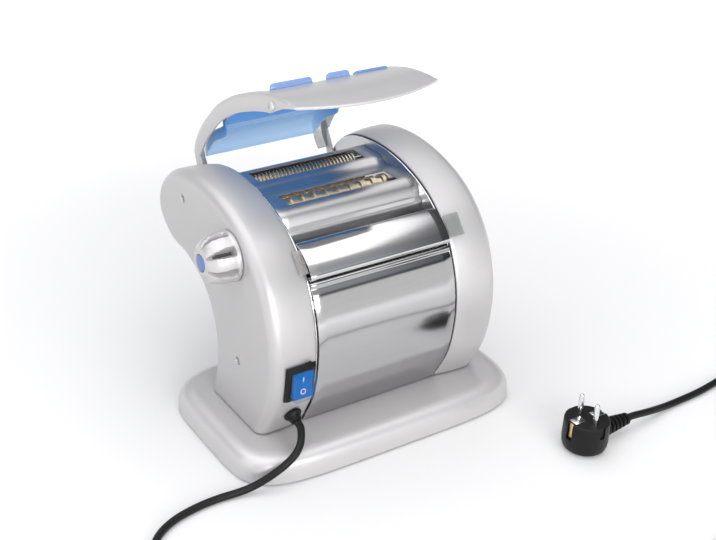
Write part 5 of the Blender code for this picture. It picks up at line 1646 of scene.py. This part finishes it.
def lid_inward(i):
    """The direction from the arc to the lid's inside."""
    along = (lid_line[min(i + 1, lid_end)] - lid_line[max(i - 1, 0)]).normalized()
    return Vector((along.y, -along.x))


print("points on the lid's arc", len(lid_line))

# %% [markdown]
# The plate in front bulges forward in the middle and ends in pointed corners, and each arm has a side
# flange. One grid of points makes all of it: its columns run round the flanges and over the plate, and
# behind the plate the faces between the arms are left out. That keeps plate, arms and flanges one smooth
# moulding.

# %% Lid frame
LID_HALF = 0.0762
LID_ARM = 0.0105
LID_SKIN = 0.0022
LIP = 0.017
FLANGE = 0.016
FLANGE_START = 0.02
FLANGE_GROWTH = 2.2 * LID_STEPS
FLANGE_REST = 0.3
FLANGE_FADE = 3.0 * LID_STEPS
PLATE_PARTS = 20
FLANGE_COLUMNS = (
    (0.0, 1.0),
    (0.0, 0.6),
    (0.0, 0.2),
    (0.0006, 0.06),
    (0.0018, 0.0),
    (0.005, 0.0),
)
arm_x = LID_HALF - LID_ARM
columns = [(x - LID_HALF, share) for x, share in FLANGE_COLUMNS]
columns += [(-arm_x + 2 * arm_x * k / PLATE_PARTS, 0.0) for k in range(PLATE_PARTS + 1)]
columns += [(LID_HALF - x, share) for x, share in reversed(FLANGE_COLUMNS)]
forward = (lid_line[0] - lid_line[1]).normalized()
points = []
for i, point in enumerate(lid_line):
    fade = max(0.0, 1 - i / PLATE_END)
    grown = min(1.0, FLANGE_START + i / FLANGE_GROWTH)
    shrunk = min(1.0, FLANGE_REST + (lid_end - i) / FLANGE_FADE)
    for x, share in columns:
        lip = LIP * (1 - (x / LID_HALF) ** 2) * fade
        spot = point + lid_inward(i) * FLANGE * grown * shrunk * share + forward * lip
        points.append((x, spot.x, spot.y))
width = len(columns)
arm_columns = len(FLANGE_COLUMNS)
faces = []
for i in range(lid_end):
    for k in range(width - 1):
        between_arms = arm_columns <= k < width - 1 - arm_columns
        if between_arms and i >= PLATE_END:
            continue
        faces.append((i * width + k, i * width + k + 1, (i + 1) * width + k + 1, (i + 1) * width + k))
lid = from_points("lid_shell", points, (), faces)
modify(lid, "SOLIDIFY", thickness=LID_SKIN, offset=0.0)
modify(lid, "BEVEL", width=0.0006, segments=2, limit_method="ANGLE", angle_limit=math.radians(50))
finish_piece(lid, "lid", SILVER_LID, "silver_paint", "lid_frame", angle=40.0)

# %% [markdown]
# The lower part of the right arm is grey clear plastic. It is the same moulding, so its faces are found
# by their place and take a second finish.

# %% The right arm's clear end
CLEAR_EDGE = 0.004
CLEAR_STEPS = 3
lid.data.materials.append(GREY_CLEAR)
clear_top = lid_line[PLATE_END + CLEAR_STEPS].y
plate_back = lid_line[PLATE_END].x
for face in lid.data.polygons:
    x, y, z = face.center
    if x > arm_x - CLEAR_EDGE and z < clear_top and y > plate_back:
        face.material_index = 1
print("clear faces:", sum(face.material_index for face in lid.data.polygons))

# %% [markdown]
# Each arm ends in an ear that turns on a hinge pin. It is a flat slab that starts inside the arm and
# closes round the pin with a half circle, and its bore is cut last.

# %% Lid ears
EAR_RADIUS = 0.0075
EAR_HALF = 0.0008
EAR_STEPS = 12
BORE_RADIUS = 0.0033
BORE_PAST = 0.002
hinge = Vector((HINGE_Y, HINGE_Z))
reach = (lid_line[lid_end - LID_STEPS] - hinge).normalized()
across = Vector((-reach.y, reach.x))
ear_outline = []
for k in range(EAR_STEPS + 1):
    a = math.pi / 2 + math.pi * k / EAR_STEPS
    ear_outline.append(hinge + across * EAR_RADIUS * math.sin(a) + reach * EAR_RADIUS * math.cos(a))
ear_outline += [lid_line[lid_end] + reach * 0.001, lid_line[lid_end - LID_STEPS]]
ear_outline += [lid_line[lid_end - 2 * LID_STEPS], lid_line[lid_end - 3 * LID_STEPS] - reach * EAR_RADIUS]
for name, side in (("left_lid_ear", -1), ("right_lid_ear", 1)):
    low = side * LID_HALF - EAR_HALF
    high = side * LID_HALF + EAR_HALF
    ear = slab(name, [tuple(p) for p in ear_outline], low, high)
    near = low - BORE_PAST
    far = high + BORE_PAST
    bore = [(near, 0.0), (near, BORE_RADIUS), (far, BORE_RADIUS), (far, 0.0)]
    subtract(ear, spun("bore", bore, HINGE_Y, HINGE_Z, steps=24))
    modify(ear, "BEVEL", width=0.0004, segments=2, limit_method="ANGLE", angle_limit=math.radians(60))
    finish_piece(ear, "lid", SILVER_LID, "silver_paint", angle=40.0)

# %% [markdown]
# Under the frame sits a clear blue shell. It runs from the plate's rear edge down to the lower border,
# with a ledge along its middle and end walls that turn inwards. It follows the lid's arc at some depth
# under it, so its rows are worked out from the arc: deeper under the plate, and deepest at the ledge.

# %% Lid shell
SHELL_START = PLATE_END - LID_STEPS
SHELL_END = lid_end - 8
SHELL_WALL = 0.0016
SHELL_PLAY = 0.0006
FRAME_PLAY = 0.0004
UNDER_PLATE = 0.0030
BEHIND_PLATE = 0.0015
SHELL_PARTS = 14
LEDGE = 48
LEDGE_DEPTH = 0.0120
LEDGE_SHARP = 1.3
LEDGE_SOFT = 7.0
END_DEPTH = 0.002
END_GROWTH = 0.009


def shell_depth(i):
    """How far under the lid's arc the shell lies."""
    depth = LID_SKIN / 2 + FRAME_PLAY
    if i <= PLATE_END:
        depth += UNDER_PLATE
    elif i <= PLATE_END + 2:
        depth += BEHIND_PLATE
    spread = LEDGE_SHARP if i < LEDGE else LEDGE_SOFT
    return depth + LEDGE_DEPTH * math.exp(-((i - LEDGE) / spread) ** 2)


shell_half = arm_x - SHELL_PLAY
end_columns = [
    (-shell_half, 1.0),
    (-shell_half, 0.55),
    (-shell_half + 0.0004, 0.12),
    (-shell_half + 0.0016, 0.0),
]
shell_columns = list(end_columns)
shell_columns += [(-shell_half + 2 * shell_half * k / SHELL_PARTS, 0.0) for k in range(1, SHELL_PARTS)]
shell_columns += [(-x, share) for x, share in reversed(end_columns)]
rows = []
for i in range(SHELL_START, SHELL_END + 1):
    inward = lid_inward(i)
    point = lid_line[i] + inward * shell_depth(i)
    ends = min(1.0, (i - SHELL_START) / LID_STEPS, (SHELL_END - i) / LID_STEPS)
    wall = END_DEPTH + END_GROWTH * ends
    rows.append([(x, *(point + inward * (share * wall))) for x, share in shell_columns])
points, faces = skin(rows, closed=False)
shell = from_points("lid_clear_shell", points, (), faces)
modify(shell, "SOLIDIFY", thickness=SHELL_WALL, offset=0.0)
finish_piece(shell, "lid", SHELL_CLEAR, "clear_blue", "lid_window", angle=40.0)

# %% [markdown]
# Three blue tabs of the shell come up through the frame and stand over the plate's rear edge. Each is a
# flat plate with sloping ends, drawn in the frame of the arc at that edge and bevelled. The right one is
# lower.

# %% Lid tabs
TABS = ((-0.0655, -0.0200, 0.0066), (-0.0050, 0.0210, 0.0066), (0.0250, 0.0640, 0.0034))
TAB_HALF = 0.0010
TAB_LIFT = 0.0004
TAB_SHOULDER = 0.72
TAB_LEAN = 0.0008
TAB_CORNER = 0.0034
tab_base = lid_line[PLATE_END]
tab_out = -lid_inward(PLATE_END)
tab_along = (lid_line[PLATE_END - 1] - lid_line[PLATE_END + 1]).normalized()
for number, (low, high, tall) in enumerate(TABS, 1):
    outline = [
        (low, 0.0),
        (low + TAB_LEAN, tall * TAB_SHOULDER),
        (low + TAB_CORNER, tall),
        (high - TAB_CORNER, tall),
        (high - TAB_LEAN, tall * TAB_SHOULDER),
        (high, 0.0),
    ]
    points = []
    for offset in (-TAB_HALF, TAB_HALF):
        for x, up_by in outline:
            spot = tab_base + tab_out * (TAB_LIFT + up_by) + tab_along * offset
            points.append((x, *spot))
    count = len(outline)
    faces = [tuple(range(count)), tuple(range(2 * count - 1, count - 1, -1))]
    faces += [(i, (i + 1) % count, count + (i + 1) % count, count + i) for i in range(count)]
    tab = tidy(from_points(f"lid_tab_{number}", points, (), faces))
    modify(tab, "BEVEL", width=0.0005, segments=2)
    finish_piece(tab, "lid", TAB_CLEAR, "clear_blue", angle=40.0)

# %% [markdown]
# A short round knuckle with a pin in it joins the left arm to the plate. Both are turned, and their
# profiles round the ends, so no bevel is needed.

# %% Lid knuckle
KNUCKLE = (-0.0225, 0.3278)
knuckle_profile = [
    (-0.0798, 0.0),
    (-0.0798, 0.0036),
    (-0.0793, 0.0044),
    (-0.0785, 0.0048),
    (-0.0690, 0.0048),
    (-0.0682, 0.0044),
    (-0.0682, 0.0),
]
knuckle = spun("lid_knuckle", knuckle_profile, *KNUCKLE, steps=40)
finish_piece(knuckle, "lid", SILVER_LID, "silver_paint", angle=40.0)
pin_outline = [(-0.0802, 0.0), (-0.0802, 0.0014), (-0.0796, 0.0016), (-0.0796, 0.0)]
knuckle_pin = spun("lid_knuckle_pin", pin_outline, *KNUCKLE, steps=24)
finish_piece(knuckle_pin, "lid", CAST, "machined_steel")

# %% [markdown]
# The floor is plain and pale. In the picture it is white round the machine, and brighter lamps would
# bleach the machine with it. So the floor gives some light of its own, but only to what looks at it: the
# camera, and the rays that metal and clear plastic send out. It gives less near the machine, which keeps
# the shadow.

# %% Floor
FLOOR_SIZE = 3.2
FLOOR_Z = -0.0002
FLOOR_TONE = 0.66
NEAR_LIFT = 0.09
FAR_LIFT = 0.60
LIFT_GROWTH = 0.45
RAYS = ("Is Camera Ray", "Is Glossy Ray", "Is Transmission Ray")
deselect()
bpy.ops.mesh.primitive_plane_add(size=FLOOR_SIZE, location=(0.0, 0.0, FLOOR_Z))
floor = bpy.context.object
floor.name = "floor"
floor_finish = Finish("floor", (FLOOR_TONE, FLOOR_TONE, FLOOR_TONE), 0.9)
seen = sum((floor_finish.node("ShaderNodeLightPath", output=ray) for ray in RAYS), 0.0)
seen = seen.maths("MINIMUM", seen, 1.0)
ground = floor_finish.place()
distance = floor_finish.node("ShaderNodeVectorMath", {"operation": "LENGTH"}, {0: ground}, output="Value")
lift = distance * distance * LIFT_GROWTH + NEAR_LIFT
lift = lift.maths("MINIMUM", lift, FAR_LIFT)
glow = floor_finish.tint(seen * lift, (0.0, 0.0, 0.0), (1.0, 1.0, 1.0))
floor_finish.set("Emission Color", glow)
floor_finish.set("Emission Strength", 1.0)
floor.data.materials.append(floor_finish.material)
print("floor made")

# %% [markdown]
# Big soft lamps stand round the machine as in a product studio: one over it, one at its left and one in
# front. Small ones would make hard spots on the paint and hard shadows under the lead.

# %% Lamps
MACHINE_MIDDLE = Vector((0.0, -0.04, 0.12))


def lamp(name, place, target, size, power):
    data = bpy.data.lights.new(name, "AREA")
    data.shape = "RECTANGLE"
    data.size = size[0]
    data.size_y = size[1]
    data.energy = power
    obj = bpy.data.objects.new(name, data)
    scene.collection.objects.link(obj)
    obj.location = place
    obj.rotation_euler = (Vector(target) - Vector(place)).to_track_quat("-Z", "Y").to_euler()
    print(name, power, "W")


lamp("top_lamp", (-0.2, 0.1, 1.9), (-0.2, 0.1, 0.0), (2.8, 2.6), 29.0)
lamp("left_lamp", (-1.7, -0.1, 0.9), MACHINE_MIDDLE, (1.0, 1.2), 5.0)
lamp("front_lamp", (-0.3, -1.8, 0.7), MACHINE_MIDDLE, (1.6, 0.8), 24.0)

# %% [markdown]
# Metal shows what is around it, so the world is drawn as a studio would look to it: white near the
# horizon, a dark band above that, and brighter again overhead. The band draws the dark lines along the
# bent sheets. To the right it is dark from the band upwards, which gives the sheets their dark right
# ends. The ramp goes by the height of a direction, from 0 straight down over 0.5 at the horizon to 1
# straight up.

# %% World
SKY = (
    (0.60, (1.0, 1.0, 1.0)),
    (0.618, (0.40, 0.39, 0.39)),
    (0.645, (0.05, 0.05, 0.06)),
    (0.71, (0.36, 0.38, 0.44)),
    (0.76, (0.46, 0.48, 0.55)),
    (0.81, (0.46, 0.47, 0.51)),
    (0.855, (0.62, 0.61, 0.62)),
    (0.93, (0.80, 0.79, 0.81)),
    (1.0, (0.95, 0.95, 0.96)),
)
RIGHT_EDGE = (0.515, 0.56)
UPPER_EDGE = (0.60, 0.63)
RIGHT_DIMMING = 0.84
world = bpy.data.worlds.new("studio")
scene.world = world
world.use_nodes = True
sky = Network(world.node_tree)
background = world.node_tree.nodes["Background"]
direction = sky.node("ShaderNodeTexCoord", output="Generated")
to_the_right = sky.node("ShaderNodeSeparateXYZ", sockets={"Vector": direction}, output="X")
upwards = sky.node("ShaderNodeSeparateXYZ", sockets={"Vector": direction}, output="Z")
position = upwards * 0.5 + 0.5
tones = sky.node("ShaderNodeValToRGB", {"stops": SKY}, {0: position})
dark_side = sky.share_between(to_the_right, *RIGHT_EDGE) * sky.share_between(position, *UPPER_EDGE)
kept_light = 1.0 - dark_side * RIGHT_DIMMING
dimmed = sky.node("ShaderNodeVectorMath", {"operation": "SCALE"}, {0: tones, "Scale": kept_light})
sky.join(background.inputs["Color"], dimmed)
background.inputs["Strength"].default_value = 1.0
scene.view_settings.view_transform = "Standard"
print("world made")

# %% [markdown]
# The last cell only prints that the script has come to its end.

# %% End
print("end of script")
